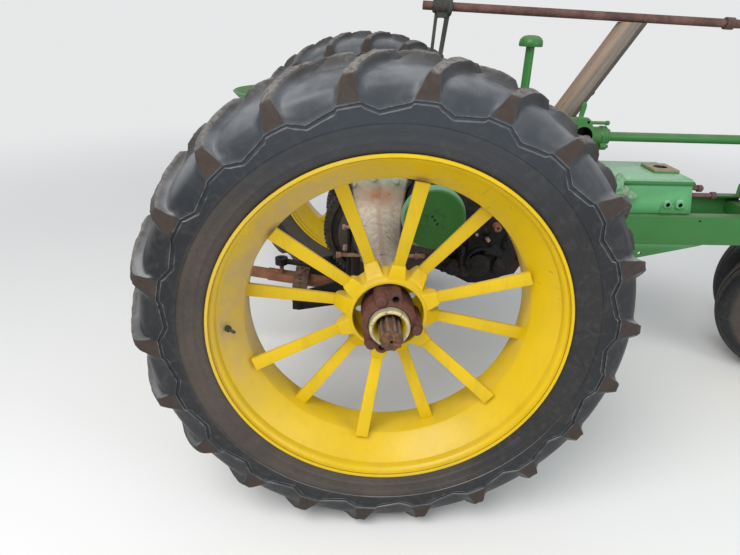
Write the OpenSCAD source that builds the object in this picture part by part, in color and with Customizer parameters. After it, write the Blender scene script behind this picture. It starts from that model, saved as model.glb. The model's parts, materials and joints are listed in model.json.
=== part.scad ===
// Small row-crop tractor with a narrow front, partly taken apart.
// Millimetres. +X is forward, +Y is the tractor's left, +Z is up.
// Most places are measured from the centre of the rear axle.

/* [Rear wheels] */
// Radius out to the tips of the lugs
tyre_r = 690; // [660:5:720]
// Width of the rear tyre at its lugs
tyre_w = 286; // [260:2:300]
// Depth of one lug above the tread
lug_h = 28; // [20:1:36]
// How far a lug is swept back from the middle to the shoulder, in degrees
lug_sweep = 8; // [4:0.5:12]
// Lugs on each side of a tyre
lug_n = 22; // [18:1:24]
// Outer radius of the rim's flange
rim_r = 478; // [470:1:486]
// Width of the rim over both flanges
rim_w = 270; // [250:2:280]
// Thickness of the rolled rim
rim_t = 7; // [5:0.5:9]
// Distance between the centre planes of the rear wheels
track = 1656; // [1600:4:1760]
// Radius of the spoke ends, inside the rim's well
well_r = 395; // [385:1:405]
// Number of flat spokes in a wheel
spoke_n = 12; // [12:2:14]
// Width of a flat spoke
spoke_w = 40; // [30:1:44]
// Thickness of a flat spoke
spoke_t = 13; // [10:1:18]
// Radius of the round bore in the cast hub
hub_bore_r = 96; // [88:1:100]
// Radius of the cast hub over its spoke pockets
hub_r = 162; // [150:1:175]
// Radius of the splined axle shaft
shaft_r = 31.5; // [28:0.5:36]
// Radius of the split collar on the shaft
collar_r = 56; // [50:1:58]
// Radius of the clamp's bolt circle
clamp_bolt_pcr = 76; // [74:1:78]
// Shaft's end beyond the rim's outer plane
shaft_stub = 20; // [0:1:60]

/* [Final drive] */
// Outer radius of the large axle gear
gear_r = 206; // [190:1:215]
// Teeth of the large axle gear
gear_teeth = 70; // [60:1:80]
// Depth of a gear tooth
tooth_h = 13; // [8:0.5:16]
// Face width of the large axle gear
gear_w = 46; // [36:1:50]
// Space between a gear and the case's side
gear_gap = 8; // [6:0.5:16]
// Half width of the transmission case
case_half_w = 185; // [170:1:200]
// Rear face of the case, behind the axle
case_rear = 112; // [104:1:120]
// Wall of the cast case
case_wall = 14; // [10:1:16]
// Front face of the crankcase, ahead of the axle
case_front = 700; // [690:2:720]
// Flat top of the case above the axle
case_top = 272; // [268:1:278]
// Thickness of the case's top cover
cover_t = 22; // [14:1:26]
// Length of the case's top cover
cover_l = 330; // [300:2:350]
// Width of the case's top cover
cover_w = 250; // [200:2:252]
// Radius of the big flange of an axle housing
horn_flange_r = 238; // [225:1:248]
// Thickness of an axle housing's big flange
horn_flange_t = 18; // [12:1:24]
// Radius of the axle housing's neck
horn_neck_r = 58; // [50:1:64]
// Space between an axle housing's end and the wheel's clamp
horn_gap = 30; // [20:1:80]

/* [Brakes and crankcase] */
// Radius of the dished brake cover
brake_r = 102; // [90:1:106]
// Radius of the brake housing's neck
brake_neck_r = 70; // [60:1:78]
// Depth of the dished brake cover
brake_depth = 46; // [36:1:56]
// Outer face of the brake cover, from the tractor's middle
brake_face_y = 452; // [430:1:470]
// Brake centre ahead of the axle
brake_x = 174; // [165:1:180]
// Brake centre above the axle
brake_z = 150; // [142:1:160]
// Crankshaft centre ahead of the axle
crank_x = 446; // [444:1:490]
// Crankshaft centre above the axle
crank_z = 52; // [30:1:60]
// Radius of the crankshaft's journals
crank_r = 30; // [26:1:36]
// Radius of the crankshaft's bare right end
crank_tip_r = 15; // [12:0.5:20]
// Radius of the flywheel
flywheel_r = 210; // [190:1:215]
// Thickness of the flywheel's rim
flywheel_w = 92; // [70:1:110]

/* [Engine] */
// Front face of the cylinder block, ahead of the axle
block_front = 1208; // [1180:2:1230]
// Top of the cylinder block above the axle
block_top = 224; // [214:1:240]
// Half width of the cylinder block
block_half_w = 152; // [146:1:154]
// Length of the longest head stud
stud_len = 170; // [100:1:180]
// Radius of a head stud
stud_r = 8; // [6:0.5:10]
// Governor bore ahead of the axle
governor_x = 752; // [740:1:770]
// Height of the governor's bore above the axle
governor_z = 372; // [350:1:390]
// Radius of the fan's drive tube
fan_tube_r = 18; // [14:0.5:24]
// Radius of the governor's open bore
governor_r = 36; // [30:1:42]
// Fan tube below the governor's bore
fan_drop = 19; // [10:1:24]
// Space from the fan's middle to the radiator
fan_gap = 62; // [54:1:76]
// Radius of the fan over its blades
fan_r = 205; // [170:1:215]
// Number of fan blades
fan_blade_n = 4; // [4:1:6]
// Breather pipe ahead of the axle
breather_x = 517; // [490:1:530]
// Breather pipe from the tractor's middle, to the right
breather_y = -75; // [-90:1:-72]
// Top of the breather's cap above the axle
breather_top = 695; // [640:1:740]
// Radius of the breather's pipe
breather_r = 17; // [14:0.5:20]

/* [Frame] */
// A frame rail's outer face, in from the case's side
rail_inset = 13; // [8:1:16]
// Top of the frame rails above the axle
rail_top = 85; // [80:1:90]
// Height of a frame rail
rail_h = 117; // [110:1:120]
// Width of a rail's flanges
rail_flange = 46; // [38:1:50]
// Thickness of the rail's steel
rail_t = 8; // [6:0.5:10]
// Rear end of the frame rails, ahead of the axle
rail_rear = 600; // [594:1:612]
// Front end of the frame rails, behind the steering post
rail_to_post = 310; // [306:1:330]
// Depth of the tapered plate below a rail
plate_drop = 102; // [60:1:110]

/* [Front end] */
// Steering post's centre ahead of the axle
kingpin_x = 1950; // [1945:1:1980]
// Radius of the upright steering post
kingpin_r = 30; // [26:0.5:34]
// Turn of the front wheels as they stand, to the right
steer_rest = 30; // [0:1:30]
// Radius of a front tyre
front_r = 335; // [325:1:336]
// Width of a front tyre
front_w = 130; // [110:1:134]
// Lean of the front wheels, out at the top
front_lean = 8; // [6:0.5:9]
// Distance from the post to a front wheel's middle
front_half_track = 150; // [146:1:160]
// Radius of a front rim over its flange
front_rim_r = 212; // [205:1:220]
// Radius of a front wheel's spindle
spindle_r = 17; // [14:0.5:20]
// Front face of the radiator, behind the steering post
radiator_to_post = 178; // [170:1:190]
// Thickness of the radiator
radiator_t = 110; // [90:1:120]
// Half width of the radiator
radiator_half_w = 235; // [210:1:245]
// Top of the radiator above the axle
radiator_top = 640; // [620:1:660]

/* [Steering] */
// Radius of the steering shaft
steer_shaft_r = 15; // [13:0.5:18]
// Rear end of the steering shaft, behind its support
steer_tail = 70; // [50:1:90]
// Height of the shaft at its rear support above the axle
steer_rear_z = 794; // [780:1:800]
// Height of the shaft at its worm above the axle
steer_front_z = 756; // [750:1:765]
// Rear support ahead of the axle
support_x = 212; // [200:1:230]

/* [Prop and drawbar] */
// Width of the wooden prop
prop_w = 74; // [60:1:80]
// Thickness of the wooden prop
prop_t = 60; // [40:1:70]
// Rear end of the drawbar, behind the axle
drawbar_rear = 800; // [780:1:840]
// Level rear end of the drawbar, below the axle
drawbar_z = 236; // [230:1:242]
// Fall of the drawbar towards its front pivot, in degrees
drawbar_fall = 8.9; // [8:0.1:9.5]
// Width of the drawbar
drawbar_w = 60; // [50:1:70]
// Thickness of the drawbar's front part
drawbar_t = 32; // [28:1:36]
// Thickness of the drawbar's rear part
drawbar_tail_t = 24; // [20:1:26]
// Radius of the hitch pin's hole
hitch_r = 11; // [9:0.5:14]

/* [Seat] */
// Seat's middle behind the axle
seat_x = 330; // [300:1:360]
// Height of the seat above the axle
seat_z = 420; // [400:1:460]
// Width of the pan seat
seat_w = 430; // [380:2:460]

/* [Hidden] */
$fn = 48;
// Space that a shaft has in its bearing
running_fit = 0.05;
// Space between pieces that rest on each other
seat_gap = 0.3;
// Space between faces that pass each other
clearance = 6;
// Height of the rear axle above the ground
axle_z = tyre_r;

// Rear wheel: places outward from its middle plane
rim_in = rim_w / 2;
seat_r = rim_r - 15;
well_out = rim_in - 65;
well_in = rim_in - 165;
hub_face = rim_in - 100;
hub_depth = 92;
hub_back = hub_face - hub_depth;
web_t = 16;
clamp_back = hub_back + web_t;
clamp_face = hub_face + 27;
// Spoke ends: [place at the rim, place at the hub]
spoke_ends = [[rim_in - 85, rim_in - 130], [rim_in - 145, rim_in - 150]];
spoke_turn = 20.5;
// Bosses of the clamp: [angle, 1 where its bolt is still there]
clamp_bosses = [[109, 1], [79, 0], [-10, 1], [-129, 1], [-103, 0]];

// Case and drive
gear_y = case_half_w - case_wall - gear_gap - gear_w / 2;
gear_case_r = gear_r + clearance + 1 + case_wall;
horn_end = track / 2 + hub_back - horn_gap;
brake_back = brake_face_y - brake_depth;
crank_reach = 73;
flywheel_gap = 30;

// Frame and front
rail_y = case_half_w - rail_inset;
rail_in = rail_y - rail_flange;
rail_bottom = rail_top - rail_h;
rail_front = kingpin_x - rail_to_post;
radiator_front = kingpin_x - radiator_to_post;
radiator_rear = radiator_front - radiator_t;
fan_x = radiator_rear - fan_gap;
fan_z = governor_z - fan_drop;
governor_y = 150;
governor_top = governor_z + 52;
water_pad = 15;
front_half_w = front_w * 0.4;
front_seat_r = front_rim_r - 16;
kingpin_low = -axle_z
    + max([for (p = front_tyre_outline()) p[0] * cos(front_lean) + p[1] * sin(front_lean)]);
steer_slope = atan2(steer_rear_z - steer_front_z, kingpin_x - support_x);

// The origin stands below the middle of the whole length
front_turned = sin(steer_rest) * cos(front_lean);
front_reach = kingpin_x + front_half_track * sin(steer_rest)
    + max([for (p = front_tyre_outline()) p[0] * sqrt(1 - front_turned * front_turned)
        + p[1] * front_turned]);
axle_x = (max(drawbar_rear, tyre_r) - front_reach) / 2;

// Drawbar: where its level end turns down, and where it passes the quadrant
drawbar_bend = 620;
quadrant_x = 335;
quadrant_w = 60;
quadrant_t = 12;
quadrant_half = 150;
tank_top = 120;
tank_h = 90;
quadrant_z = drawbar_mid(-quadrant_x) + drawbar_t / 2 / cos(drawbar_fall) + seat_gap;
pivot_x = 30;

// One side of a front tyre's section: [radius, distance from its middle plane]
function front_tyre_outline() = [
    [front_seat_r + 0.5, front_half_w - 13], [front_rim_r + 1, front_half_w - 6],
    [front_rim_r + 24, front_w * 0.46], [front_rim_r + 62, front_w * 0.5],
    [front_r - 24, front_w * 0.45], [front_r - 4, front_w * 0.31], [front_r, front_w * 0.15]];

// Underside of the sloping steering shaft at a place x ahead of the axle
function under_shaft(x) = steer_rear_z - (x - support_x) * tan(steer_slope)
    - steer_shaft_r / cos(steer_slope) - seat_gap;

// Height of the sloping drawbar's middle line at a place x
function drawbar_mid(x) = -drawbar_z - (x + drawbar_bend) * tan(drawbar_fall);

// Points round a toothed wheel: each tooth rises from a foot to a narrower tip
function toothed(r, n, depth) = [
    for (i = [0 : n - 1]) for (p = [[-0.32, depth], [-0.17, 0], [0.17, 0], [0.32, depth]])
        (r - p[1]) * [cos((i + p[0]) * 360 / n), sin((i + p[0]) * 360 / n)]];

// Colours, as the photograph shows them
yellow = [0.93, 0.80, 0.08];
green = [0.20, 0.47, 0.22];
light_green = [0.36, 0.66, 0.42];
bare_iron = [0.62, 0.62, 0.56];
greasy = [0.13, 0.13, 0.14];
rust = [0.42, 0.26, 0.19];
maroon = [0.38, 0.22, 0.20];
rubber = [0.12, 0.12, 0.13];
timber = [0.52, 0.44, 0.36];

// Placing

// Local origin at the rear axle's centre
module at_axle() translate([axle_x, 0, axle_z]) children();

// Local Z runs outward along the axle, local X forward, local Y up
module on_right() at_axle() rotate([90, 0, 0]) children();
module on_left() at_axle() mirror([0, 1, 0]) rotate([90, 0, 0]) children();

// The middle plane of a rear rim, Z outward
module rear_wheel_place(side) {
    if (side > 0) on_left() translate([0, 0, track / 2]) children();
    else on_right() translate([0, 0, track / 2]) children();
}

// A plate in the XZ plane, as thick as t, with its middle at a distance y from the tractor's middle
module upright_plate(y, t) translate([0, y + t / 2, 0]) rotate([90, 0, 0]) linear_extrude(t) children();

// A bar between two points in the XZ plane, at a distance y from the middle
module link(a, b, y, r) {
    d = b - a;
    translate([a[0], y, a[1]])
        rotate([0, atan2(d[0], d[1]), 0])
            cylinder(r = r, h = norm(d));
}

// Rear wheels

// Columns across half a tyre, from the middle to the bead: [share of the half width, radius between the
// lugs, height of a lug, share of the pitch that is half its top, share that is half its foot]
tyre_columns = [
    [0.10, tyre_r - lug_h, lug_h, 0.10, 0.16],
    [0.73, tyre_r - lug_h - 17, lug_h, 0.12, 0.20],
    [0.91, tyre_r - lug_h - 34, lug_h, 0.13, 0.24],
    [0.99, tyre_r - lug_h - 68, lug_h * 0.3, 0.20, 0.29],
    [1.00, rim_r + 78, 0, 0.125, 0.375],
    [0.90, rim_r + 14, 0, 0.125, 0.375],
    [0.81, seat_r + 1, 0, 0.125, 0.375]
];

// The four lines of one lug, as [share of the pitch, 1 on the lug's top]; the inner side is half a pitch on
function lug_lines(side, top, foot) = side > 0
    ? [[0.5 - foot, 0], [0.5 - top, 1], [0.5 + top, 1], [0.5 + foot, 0]]
    : [[top, 1], [foot, 0], [1 - foot, 0], [1 - top, 1]];

function tyre_ring(side, column) = [
    for (k = [0 : lug_n - 1]) for (line = lug_lines(side, column[3], column[4]))
        let (turn = (k + line[0]) * 360 / lug_n + lug_sweep * column[0], r = column[1] + line[1] * column[2])
            [r * cos(turn), r * sin(turn), side * column[0] * tyre_w / 2]];

module rear_tyre(side) {
    crown = [0, tyre_r - lug_h, 0, 0.125, 0.375];
    last = len(tyre_columns) - 1;
    rings = concat(
        [for (i = [last : -1 : 0]) tyre_ring(1, tyre_columns[i])], [tyre_ring(1, crown)],
        [for (i = [0 : last]) tyre_ring(-1, tyre_columns[i])]);
    n = len(rings);
    m = 4 * lug_n;
    color(rubber) rear_wheel_place(side) polyhedron(
        points = [for (ring = rings) for (p = ring) p],
        faces = [for (i = [0 : n - 1]) for (j = [0 : m - 1])
            let (a = i * m, b = (i + 1) % n * m, next = (j + 1) % m)
                each [[a + j, b + j, b + next], [a + j, b + next, a + next]]]);
}

// Rim's section: [radius, distance outward from its middle plane]
module rim_section() {
    half = [[rim_r, rim_in], [rim_r, rim_in - 10], [seat_r, rim_in - 18], [seat_r, rim_in - 40]];
    lining = [[seat_r - rim_t, rim_in - 42], [seat_r - rim_t, rim_in - 15], [rim_r - rim_t - 1, rim_in - 8],
        [rim_r - rim_t, rim_in]];
    polygon(concat(
        half, [[well_r + rim_t, well_out], [well_r + rim_t, well_in]],
        [for (i = [len(half) - 1 : -1 : 0]) [half[i][0], -half[i][1]]],
        [for (i = [len(lining) - 1 : -1 : 0]) [lining[i][0], -lining[i][1]]],
        [[well_r, well_in - 3], [well_r, well_out + 3]], lining));
}

module rear_rim(side) {
    color(yellow) rear_wheel_place(side) rotate_extrude($fn = 96) rim_section();
}

module spoke(ends) {
    start = hub_r - 40;
    reach = well_r - start;
    tilt = atan2(ends[0] - ends[1], reach);
    translate([start, 0, ends[1]]) rotate([0, -tilt, 0])
        translate([0, -spoke_w / 2, -spoke_t / 2])
            cube([reach + 30, spoke_w, spoke_t]);
}

// A wedge that widens from the hub's bore to a spoke's root
module spoke_socket(ends) {
    half = spoke_w / 2 + 9;
    top = ends[1] + spoke_t / 2;
    low = ends[1] - spoke_t / 2;
    rotate([90, 0, 0]) translate([0, 0, -half]) linear_extrude(2 * half) polygon([
        [hub_bore_r - 4, hub_face - 3], [hub_bore_r + 16, hub_face - 3], [hub_r - 4, top + 12],
        [hub_r + 8, top + 3], [hub_r + 8, low - 3], [hub_r - 12, low - 12], [hub_bore_r - 4, hub_back + 6]]);
}

// Cast hub with its flat spokes, and the web at its back that the clamp is bolted to
module rear_hub(side) {
    web_slots = [25, 188, 300];
    color(yellow) rear_wheel_place(side) {
        difference() {
            union() {
                rotate_extrude($fn = 96) polygon([
                    [hub_bore_r, hub_face], [hub_bore_r + 18, hub_face], [hub_r - 20, hub_face - 26],
                    [hub_r - 8, hub_face - 58], [hub_r - 16, hub_back], [collar_r + 2, hub_back],
                    [collar_r + 2, clamp_back], [hub_bore_r, clamp_back]]);
                for (i = [0 : spoke_n - 1]) rotate([0, 0, spoke_turn + i * 360 / spoke_n]) {
                    spoke_socket(spoke_ends[i % 2]);
                    intersection() {
                        spoke(spoke_ends[i % 2]);
                        translate([0, 0, -rim_in]) cylinder(r = well_r, h = rim_w, $fn = 96);
                    }
                }
            }
            translate([0, 0, clamp_back]) cylinder(r = hub_bore_r, h = rim_w, $fn = 96);
            for (turn = web_slots) rotate([0, 0, turn])
                translate([(collar_r + hub_bore_r) / 2 + 2, 0, -rim_in]) cylinder(r = 13, h = rim_w);
        }
    }
}

// Horseshoe casting with its bosses, clamped round the split collar
module hub_clamp(side) {
    boss_r = 19;
    ring_r = collar_r + 18;
    wide = 2 * ring_r;
    sunk = 6;
    depth = clamp_face - clamp_back;
    collar_in = shaft_r + seat_gap;
    first = clamp_bosses[2][0] - 8;
    last = clamp_bosses[4][0] + 368;
    color(maroon) rear_wheel_place(side) {
        difference() {
            union() {
                difference() {
                    translate([0, 0, clamp_back + 1]) cylinder(r = ring_r, h = depth - sunk, $fn = 64);
                    translate([0, 0, clamp_back - 1]) linear_extrude(depth + 2)
                        polygon([[0, 0], for (turn = [last : 22 : first + 360]) wide * [cos(turn), sin(turn)],
                            wide * [cos(first), sin(first)]]);
                }
                for (boss = clamp_bosses) rotate([0, 0, boss[0]]) translate([clamp_bolt_pcr, 0, clamp_back])
                    cylinder(r = boss_r, h = depth);
                for (boss = clamp_bosses) if (boss[1] == 1) rotate([0, 0, boss[0]])
                    translate([clamp_bolt_pcr, 0, clamp_face - 1]) cylinder(r = 14, h = 16);
            }
            translate([0, 0, clamp_back - 2]) cylinder(r = collar_r + seat_gap, h = depth + 4, $fn = 64);
            for (boss = clamp_bosses) if (boss[1] == 0) rotate([0, 0, boss[0]])
                translate([clamp_bolt_pcr, 0, clamp_face - 40]) cylinder(r = 10, h = 50);
        }
        difference() {
            rotate_extrude($fn = 64) polygon([
                [collar_in, hub_back + 4], [collar_in, clamp_face + 6], [collar_in + 10, clamp_face + 8],
                [collar_in + 13, clamp_face + 28], [collar_r - 4, clamp_face + 31],
                [collar_r, clamp_face + 22], [collar_r, hub_back + 4]]);
            for (turn = [56, 168]) rotate([0, 0, turn])
                translate([shaft_r + 6, -1.5, clamp_face - 30]) cube([collar_r, 3, 70]);
        }
    }
}

// Axle shaft: plain in its bearings, splined where the wheel slides on it
module axle_shaft(side) {
    inner = 3 - track / 2;
    outer = rim_in + shaft_stub;
    spline_n = 10;
    color(rust) rear_wheel_place(side) difference() {
        union() {
            translate([0, 0, inner]) cylinder(r = shaft_r, h = hub_back - 12 - inner, $fn = 64);
            translate([0, 0, hub_back - 13]) linear_extrude(outer - hub_back + 7)
                polygon(toothed(shaft_r - 0.5, spline_n, 5));
            translate([0, 0, outer - 6]) cylinder(r1 = shaft_r - 3, r2 = shaft_r - 8, h = 6);
        }
        translate([0, 0, outer - 12]) cylinder(r = 5, h = 20);
    }
}

module bull_gear(side) {
    recess = 15;
    color(greasy) rear_wheel_place(side) translate([0, 0, gear_y - track / 2]) difference() {
        translate([0, 0, -gear_w / 2]) linear_extrude(gear_w) polygon(toothed(gear_r, gear_teeth, tooth_h));
        for (s = [-1, 1]) translate([0, 0, s > 0 ? gear_w / 2 - recess : -gear_w / 2 - recess])
            difference() {
                cylinder(r = gear_r - tooth_h - 16, h = 2 * recess, $fn = 96);
                translate([0, 0, -1]) cylinder(r = shaft_r + 24, h = 2 * recess + 2);
            }
        translate([0, 0, -gear_w]) cylinder(r = shaft_r, h = gear_w * 2, $fn = 64);
    }
}

// Case and housings

// Where the case's cover starts, ahead of the axle
cover_x = 120;
// Height of the crankcase's floor at its front end
floor_z = -127;
// Underside of the crankcase, from its front end back to the gear chamber
case_belly = [
    [case_front, floor_z], [crank_x + 156, floor_z], [crank_x + 125, floor_z - 5],
        [crank_x + 109, floor_z - 36],
    [crank_x + 58, floor_z - 49], [crank_x + 9, floor_z - 81], [crank_x - 75, floor_z - 78],
    [crank_x - 143, floor_z - 44], [crank_x - 233, floor_z - 11]
];
// Bolts at the case's open rear edge: [height, length, radius]
rear_bolts = [[-87, 42, 9], [28, 14, 11], [96, 14, 11]];

module case_outline() {
    difference() {
        union() {
            circle(r = gear_case_r, $fn = 96);
            polygon(concat([[0, gear_case_r], [cover_x, case_top], [case_front, case_top]], case_belly,
                [[0, 60 - gear_case_r]]));
        }
        translate([-gear_case_r - 100 - case_rear, -gear_case_r * 1.5])
            square([gear_case_r + 100, gear_case_r * 3]);
    }
}

module main_case() {
    boss_r = shaft_r + 22;
    color(greasy) at_axle() rotate([90, 0, 0]) {
        difference() {
            union() {
                difference() {
                    translate([0, 0, -case_half_w]) linear_extrude(case_half_w * 2) case_outline();
                    translate([0, 0, -case_half_w + case_wall])
                        cylinder(r = gear_case_r - case_wall, h = (case_half_w - case_wall) * 2, $fn = 96);
                    // The crankcase narrows between the frame rails
                    for (s = [-1, 1]) translate([rail_rear - 20, -400, s > 0 ? rail_in : -400 - rail_in])
                        cube([400, 800, 400]);
                }
                translate([0, 0, -24]) cylinder(r = boss_r, h = 48);
                intersection() {
                    translate([0, -gear_case_r, -12]) cube([gear_case_r, gear_case_r * 2, 24]);
                    translate([0, 0, -12]) cylinder(r = gear_case_r - case_wall / 2, h = 24, $fn = 96);
                }
                for (s = [-1, 1]) translate([brake_x, brake_z, s > 0 ? case_half_w - 1 : -brake_back])
                    cylinder(r = brake_neck_r, h = brake_back - case_half_w + 1, $fn = 64);
            }
            translate([0, 0, -case_half_w - 1])
                cylinder(r = shaft_r + running_fit, h = case_half_w * 2 + 2, $fn = 64);
            translate([crank_x, crank_z, -case_half_w - 1])
                cylinder(r = crank_r + running_fit, h = case_half_w * 2 + 2, $fn = 64);
        }
        for (s = [-1, 1]) for (bolt = rear_bolts)
            translate([-case_rear + 2, bolt[0], s * (case_half_w - case_wall / 2 - 2)]) rotate([0, -90, 0])
                cylinder(r = bolt[2] * 0.5, h = bolt[1] + 2);
    }
}

module case_cover() {
    color(green) at_axle() translate([cover_x, -cover_w / 2, case_top]) difference() {
        cube([cover_l, cover_w, cover_t]);
        translate([cover_l * 0.6, cover_w / 2, -1]) cylinder(r = 20, h = cover_t + 2);
    }
}

// Outline of an axle housing: [distance from the tractor's middle, radius]
horn_outline = [
    [case_half_w, horn_flange_r], [case_half_w + horn_flange_t, horn_flange_r],
        [case_half_w + horn_flange_t, 150],
    [case_half_w + 27, 125], [case_half_w + 40, 108], [case_half_w + 65, 94], [case_half_w + 105, 82],
    [case_half_w + 165, 70], [case_half_w + 235, 62], [case_half_w + 315, horn_neck_r],
    [horn_end - 26, horn_neck_r], [horn_end - 22, horn_neck_r + 12], [horn_end, horn_neck_r + 12]
];
// Turns of the bolts round an axle housing's flange
flange_bolts = [-108, -80, -52, -24, 4, 74, 96, 116];

module axle_housing(side) {
    flip = side > 0 ? 1 : 0;
    color(bare_iron) at_axle() mirror([0, flip, 0]) rotate([90, 0, 0]) {
        difference() {
            rotate_extrude($fn = 96) polygon(concat(
                [[shaft_r + running_fit, case_half_w]],
                [for (p = horn_outline) [p[1], p[0]]],
                [[shaft_r + running_fit, horn_end]]));
            translate([-2 * horn_flange_r - case_rear, -horn_flange_r, case_half_w - 1])
                cube([2 * horn_flange_r, 2 * horn_flange_r, horn_flange_t + 1]);
            translate([brake_x, brake_z, case_half_w - 1])
                cylinder(r = brake_neck_r + clearance, h = 60, $fn = 64);
        }
        for (turn = flange_bolts) rotate([0, 0, turn])
            translate([horn_flange_r - 18, 0, case_half_w + horn_flange_t - 1])
            cylinder(r = 11, h = 10, $fn = 24);
    }
}

// Dished covers with six dimples round the middle and three small holes in a row
module brake_covers() {
    dish = 10;
    dimple_pcr = 39;
    hole_step = 14.5;
    for (flip = [0, 1]) color(green) at_axle() mirror([0, flip, 0]) rotate([90, 0, 0])
        translate([brake_x, brake_z, 0]) difference() {
            rotate_extrude($fn = 64) polygon([
                [0, brake_back], [brake_r - 4, brake_back], [brake_r, brake_back + 4],
                    [brake_r, brake_face_y - dish],
                [brake_r - dish * 0.4, brake_face_y - dish * 0.3], [brake_r - dish * 1.4, brake_face_y],
                    [0, brake_face_y]]);
            for (i = [0 : 5]) rotate([0, 0, 30 + i * 60]) translate([dimple_pcr, 0, brake_face_y - 3])
                cylinder(r1 = 4, r2 = 9, h = 4, $fn = 24);
            for (i = [-1 : 1]) translate([i * hole_step, 0, brake_face_y - 12]) cylinder(r = 4, h = 20);
        }
}

// Right side of the crankcase: a round casting, a boss and the block round the crankshaft's bare end
module bearing_housing() {
    boss_t = 40;
    color(greasy) at_axle() rotate([90, 0, 0]) translate([crank_x, crank_z, case_half_w]) difference() {
        union() {
            translate([-22, -136, 0]) cylinder(r = 88, h = 34, $fn = 64);
            translate([-22, -136, 0]) cylinder(r = 66, h = 50, $fn = 64);
            translate([-161, -182, 0]) cylinder(r = 45, h = 30, $fn = 64);
            translate([-161, -182, 0]) cylinder(r = 20, h = 44);
            linear_extrude(22) polygon([[8, -158], [124, -158], [129, -60], [129, 68], [106, 93],
                [8, 93]]);
            translate([-80, -70, 0]) cube([26, 150, 26]);
            cylinder(r = crank_tip_r + 19, h = boss_t);
            for (z = [-120, 60]) translate([106, z, 0]) cylinder(r = 11, h = 32, $fn = 24);
        }
        translate([0, 0, -1]) cylinder(r = crank_tip_r + running_fit, h = boss_t + 2, $fn = 64);
    }
}

module crankshaft() {
    inner = case_half_w + flywheel_gap + flywheel_w + 30;
    color(rust) at_axle() rotate([90, 0, 0]) translate([crank_x, crank_z, 0]) difference() {
        union() {
            translate([0, 0, -inner]) cylinder(r = crank_r, h = inner + case_half_w - 1, $fn = 64);
            cylinder(r = crank_tip_r, h = case_half_w + crank_reach - 3);
            translate([0, 0, case_half_w + crank_reach - 3])
                cylinder(r1 = crank_tip_r, r2 = crank_tip_r - 3, h = 3);
        }
        translate([0, 0, case_half_w + crank_reach - 12]) cylinder(r = 5, h = 20);
    }
}

module flywheel() {
    web = 30;
    color(greasy) at_axle() rotate([-90, 0, 0])
        translate([crank_x, -crank_z, case_half_w + flywheel_gap]) difference() {
        cylinder(r = flywheel_r, h = flywheel_w, $fn = 96);
        translate([0, 0, web]) difference() {
            cylinder(r = flywheel_r - 34, h = flywheel_w, $fn = 96);
            cylinder(r = crank_r + 30, h = flywheel_w);
        }
        translate([0, 0, -1]) cylinder(r = crank_r, h = flywheel_w + 2, $fn = 64);
    }
}

// Engine

module cylinder_block() {
    len = block_front - case_front;
    foot = rail_top + 2;
    waist = rail_in - 4;
    ledge = 20;
    pad_l = 100;
    block_bosses = [-80, -31];
    side = [
        [waist, -70], [waist, foot], [block_half_w - 8, foot], [block_half_w - 8, block_top - ledge - 8],
        [block_half_w - 2, block_top - ledge], [block_half_w, block_top - ledge + 3],
            [block_half_w, block_top - 7],
        [block_half_w - 7, block_top]];
    color(light_green) at_axle() difference() {
        union() {
            translate([case_front, 0, 0]) rotate([90, 0, 90]) linear_extrude(len)
                polygon(concat(side, [for (i = [len(side) - 1 : -1 : 0]) [-side[i][0], side[i][1]]]));
            translate([block_front - 10 - pad_l, -60, block_top - 1]) cube([pad_l, 120, water_pad]);
            for (x = block_bosses) for (flip = [0, 1]) mirror([0, flip, 0])
                translate([block_front + x, 0, foot + 38]) rotate([90, 0, 0])
                    cylinder(r = 15, h = block_half_w + 4);
        }
        translate([block_front - 10 - pad_l / 2, 0, block_top - 30]) cylinder(r = 26, h = 60);
        for (y = [-72, 72]) translate([block_front + 1, y, 76]) rotate([0, -90, 0])
            cylinder(r = 50, h = 200);
        for (x = block_bosses) for (flip = [0, 1]) mirror([0, flip, 0])
            translate([block_front + x, 16 - block_half_w, foot + 38]) rotate([90, 0, 0])
                cylinder(r = 7, h = 40);
    }
}

// Studs left when the head was taken off: [y, height, length]
stud_places = [
    [-120, 196, 28], [-50, 165, 108], [-120, 157, 124], [-100, 40, 0.9 * stud_len], [-100, -20, 90],
    [0, -40, stud_len], [120, 140, 60], [100, 40, 150], [100, -20, 110]
];

module head_studs() {
    nut_h = 16;
    color(rust) at_axle() for (p = stud_places)
        translate([block_front, p[0], p[1]]) rotate([0, 90, 0]) {
            cylinder(r = stud_r, h = p[2]);
            translate([0, 0, p[2] - nut_h - 6]) cylinder(r = stud_r + 6, h = nut_h, $fn = 24);
        }
}

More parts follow.
